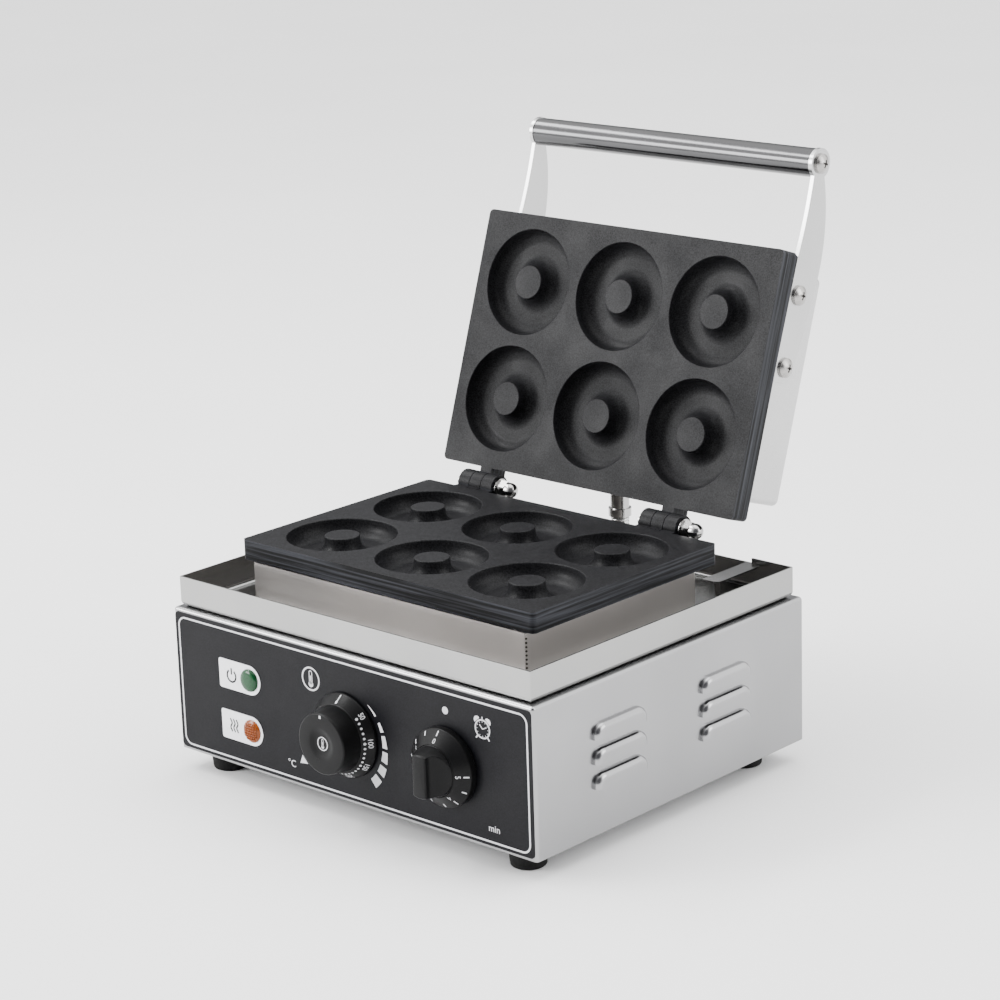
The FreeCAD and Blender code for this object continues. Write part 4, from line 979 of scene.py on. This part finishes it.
# %% [markdown]
# ## Lead hose to the lid
# The wires to the upper heater run in a flexible metal hose. It leaves the cover
# straight down, hangs behind the housing and sweeps round into a gland on the rear
# panel. Its line is one smooth NURBS curve through a few chosen points, and its skin
# is a ribbed tube made by sweeping a ring whose radius rises and falls along the line.

# %% The hose's line
REAR_FACE = 120 * MM
HOUSING_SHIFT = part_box("rear_panel")[1].y - REAR_FACE
nipple_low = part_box("lid_nipple")[0]
gland_low, gland_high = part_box("hose_gland")
LINE_STEP = 0.35 * MM
gland_end = Vector(((gland_low.x + gland_high.x) / 2, gland_high.y,
                    (gland_low.z + gland_high.z) / 2))
HOSE_POINTS = [(-3.5, 129.2, 107.5), (-6.5, 136, 85), (-16, 148, 67), (-32, 161.5, 56),
               (-54, 170, 51.5), (-77.5, 170, 52), (-95, 155, 52.5)]
hose_points = [Vector((x * MM, y * MM + HOUSING_SHIFT, z * MM)) for x, y, z in HOSE_POINTS]
hose_top = Vector((*hose_points[0].xy, nipple_low.z))
hose_route = [hose_top, *hose_points, gland_end]


def smooth_line(name, points):
    """One open NURBS spline through the route, read back as close points."""
    curve = bpy.data.curves.new(name, "CURVE")
    curve.dimensions = "3D"
    spline = curve.splines.new("NURBS")
    spline.points.add(len(points) - 1)
    for control, point in zip(spline.points, points):
        control.co = (*point, 1.0)
    spline.order_u = 3
    spline.use_endpoint_u = True
    spline.resolution_u = 40
    carrier = bpy.data.objects.new(name, curve)
    bpy.context.scene.collection.objects.link(carrier)
    bpy.context.view_layer.update()
    line = bpy.data.meshes.new_from_object(carrier)
    found = [vert.co.copy() for vert in line.vertices]
    bpy.data.objects.remove(carrier)
    bpy.data.curves.remove(curve)
    bpy.data.meshes.remove(line)
    return found


def even_points(points, gap):
    """The same line with points a fixed distance apart, and its length."""
    lengths = [0.0]
    for a, b in zip(points, points[1:]):
        lengths.append(lengths[-1] + (b - a).length)
    total = lengths[-1]
    count = max(2, round(total / gap))
    even = []
    index = 0
    for step in range(count + 1):
        want = total * step / count
        while index < len(lengths) - 2 and lengths[index + 1] < want:
            index += 1
        span = lengths[index + 1] - lengths[index]
        share = (want - lengths[index]) / span if span > 0 else 0.0
        even.append(points[index].lerp(points[index + 1], share))
    return even, total


hose_line, hose_length = even_points(smooth_line("hose_line", hose_route), LINE_STEP)
print("hose line", round(hose_length, 4), "m in", len(hose_line), "steps")

# %% The hose's ribbed skin
HOSE_RADIUS = 5.8 * MM
RIB_DEPTH, RIB_PITCH = 0.7 * MM, 2.1 * MM
HOSE_CREASE = math.radians(60)


def ribbed_tube(name, line, length, segments=40):
    """A ring swept along a line, its radius rising and falling with each rib."""
    mesh_data = bmesh.new()
    rings = []
    side = Vector((1, 0, 0))
    for index, point in enumerate(line):
        before = line[max(0, index - 1)]
        after = line[min(len(line) - 1, index + 1)]
        ahead = (after - before).normalized()
        side = (side - ahead * side.dot(ahead)).normalized()
        across = ahead.cross(side)
        travelled = length * index / (len(line) - 1)
        wave = 0.5 - 0.5 * math.cos(2 * math.pi * travelled / RIB_PITCH)
        radius = HOSE_RADIUS - RIB_DEPTH * wave ** 2
        ring = []
        for step in range(segments):
            at = 2 * math.pi * step / segments
            ring.append(mesh_data.verts.new(point + (side * math.cos(at)
                                                     + across * math.sin(at)) * radius))
        rings.append(ring)
    for low, high in zip(rings, rings[1:]):
        wall(mesh_data, low, high)
    mesh_data.faces.new(rings[0])
    mesh_data.faces.new(rings[-1])
    return made_mesh(name, mesh_data)


hose_mesh = ribbed_tube("lid_hose_skin", hose_line, hose_length)
hose_piece = bpy.data.objects.new("lid_hose_skin", hose_mesh)
bpy.context.scene.collection.objects.link(hose_piece)
hose_mesh.materials.append(hose_steel)
shade(hose_piece, HOSE_CREASE)
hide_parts("lid_hose")
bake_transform(hose_piece)

# %% [markdown]
# ## Weld spots on the pedestal
# The pedestal's corner is a butt seam held by small spot welds. Each spot is a shallow
# bead on the seam, and the heat has left it much darker than the sheet.

# %% Weld spots
weld_steel = polished("weld_steel", (0.05, 0.045, 0.04), 0.4)
pedestal_low, pedestal_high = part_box("pedestal")
BEAD = [(0, -0.3), (0.75, -0.3), (0.7, 0.0), (0.45, 0.22), (0, 0.3)]
BEAD_COUNT, BEAD_PITCH = 9, 2.45
FIRST_BEAD, BEAD_INSET = 3.0, 0.4
facing_out = Vector((1, -1, 0)).to_track_quat("Z", "Y").to_matrix().to_4x4()
weld_meshes = []
for step in range(BEAD_COUNT):
    bead = turned_mesh("bead", BEAD, 16)
    height = pedestal_low.z + (FIRST_BEAD + step * BEAD_PITCH) * MM
    place = Matrix.Translation((pedestal_high.x - BEAD_INSET * MM,
                                pedestal_low.y + BEAD_INSET * MM, height))
    bead.transform(place @ facing_out @ Matrix.Scale(MM, 4))
    weld_meshes.append(bead)
finish_piece("pedestal_welds", join("pedestal_welds", weld_meshes), weld_steel, "base")

# %% [markdown]
# ## Studio
# A small object on a pale floor: a large soft light from the front left, a second one
# from the right, a broad one overhead, and a long strip at the upper left that draws
# the bright band along the handle bar. Steel shows what it reflects, so the room is
# dark at two opposite ends and bright between them and overhead. That gives bends and
# tubes the dark and bright bands that make them read as metal.

# %% Floor and room
FLOOR_SIZE = 14.0
ROOM_STRENGTH = 3.1
DARK_END = (0.645, -0.70, 0.305)
BRIGHT_UNTIL, DARK_FROM = 0.35, 0.85
floor_mesh = bpy.data.meshes.new("floor")
half = FLOOR_SIZE / 2
floor_mesh.from_pydata([(-half, -half, 0), (half, -half, 0), (half, half, 0), (-half, half, 0)],
                       [], [(0, 1, 2, 3)])
floor = bpy.data.objects.new("floor", floor_mesh)
bpy.context.scene.collection.objects.link(floor)
floor_paint = Finish("floor_paint", (0.90, 0.90, 0.90), roughness=0.7)
floor_paint.vary_colour(floor_paint.noise(3), (0.89, 0.89, 0.89), (0.91, 0.91, 0.91))
floor_mesh.materials.append(floor_paint.material)

room = bpy.data.worlds.new("room")
bpy.context.scene.world = room
room.use_nodes = True
room_nodes = room.node_tree.nodes
room_links = room.node_tree.links
background = room_nodes["Background"]
background.inputs["Strength"].default_value = ROOM_STRENGTH
where = room_nodes.new("ShaderNodeTexCoord")
facing = room_nodes.new("ShaderNodeVectorMath")
facing.operation = "DOT_PRODUCT"
facing.inputs[1].default_value = DARK_END
either_end = room_nodes.new("ShaderNodeMath")
either_end.operation = "ABSOLUTE"
shade_off = room_nodes.new("ShaderNodeValToRGB")
shade_off.color_ramp.elements[0].position = BRIGHT_UNTIL
shade_off.color_ramp.elements[0].color = (1.0, 1.0, 1.0, 1)
shade_off.color_ramp.elements[1].position = DARK_FROM
shade_off.color_ramp.elements[1].color = (0.07, 0.07, 0.075, 1)
room_links.new(where.outputs["Generated"], facing.inputs[0])
room_links.new(facing.outputs["Value"], either_end.inputs[0])
room_links.new(either_end.outputs["Value"], shade_off.inputs["Fac"])
room_links.new(shade_off.outputs["Color"], background.inputs["Color"])


# %% Lights
def softbox(name, place, aim, size, power):
    """A rectangular light at a place, turned towards a point, with its power in watts."""
    light = bpy.data.lights.new(name, "AREA")
    light.shape = "RECTANGLE"
    light.size, light.size_y = size
    light.energy = power
    lamp = bpy.data.objects.new(name, light)
    lamp.location = place
    lamp.rotation_euler = (Vector(aim) - Vector(place)).to_track_quat("-Z", "Y").to_euler()
    bpy.context.scene.collection.objects.link(lamp)


softbox("key_light", (-1.25, -1.5, 0.85), (0, 0, 0.2), (0.9, 0.8), 38)
softbox("side_light", (1.9, 0.7, 1.1), (0, 0, 0.12), (1.2, 1.4), 24)
softbox("strip_light", (-1.2, -0.35, 1.7), (0, 0.1, 0.3), (1.4, 0.25), 22)
softbox("top_light", (0.1, 0.3, 2.1), (0, 0, 0.1), (2.2, 1.8), 28)

# %% [markdown]
# ## Camera
# A long lens from the front right, a little above the object. The view is written as
# an azimuth, an elevation and a small roll about the object's centre, which is easier
# to adjust than raw rotation numbers.

# %% Camera
AZIMUTH, ELEVATION, ROLL = math.radians(42.9), math.radians(16.21), math.radians(-1.84)
ACROSS, UP, DISTANCE = -5.72 * MM, -147.18 * MM, 1814.14 * MM
FOCAL_LENGTH, SENSOR_WIDTH = 107.70408, 36
back = Vector((math.sin(AZIMUTH) * math.cos(ELEVATION), -math.cos(AZIMUTH) * math.cos(ELEVATION),
               math.sin(ELEVATION)))
right = Vector((math.cos(AZIMUTH), math.sin(AZIMUTH), 0))
above = back.cross(right)
rolled_right = right * math.cos(ROLL) + above * math.sin(ROLL)
rolled_up = above * math.cos(ROLL) - right * math.sin(ROLL)
target = Vector((0, HOUSING_SHIFT, PANEL_BOTTOM))
eye = target - rolled_right * ACROSS - rolled_up * UP + back * DISTANCE
camera_data = bpy.data.cameras.new("camera")
camera_data.lens = FOCAL_LENGTH
camera_data.sensor_width = SENSOR_WIDTH
camera = bpy.data.objects.new("camera", camera_data)
camera.matrix_world = Matrix.Translation(eye) @ Matrix(
    (rolled_right, rolled_up, back)).transposed().to_4x4()
bpy.context.scene.collection.objects.link(camera)
bpy.context.scene.camera = camera
print("camera", round((eye - target).length, 3), "m away")
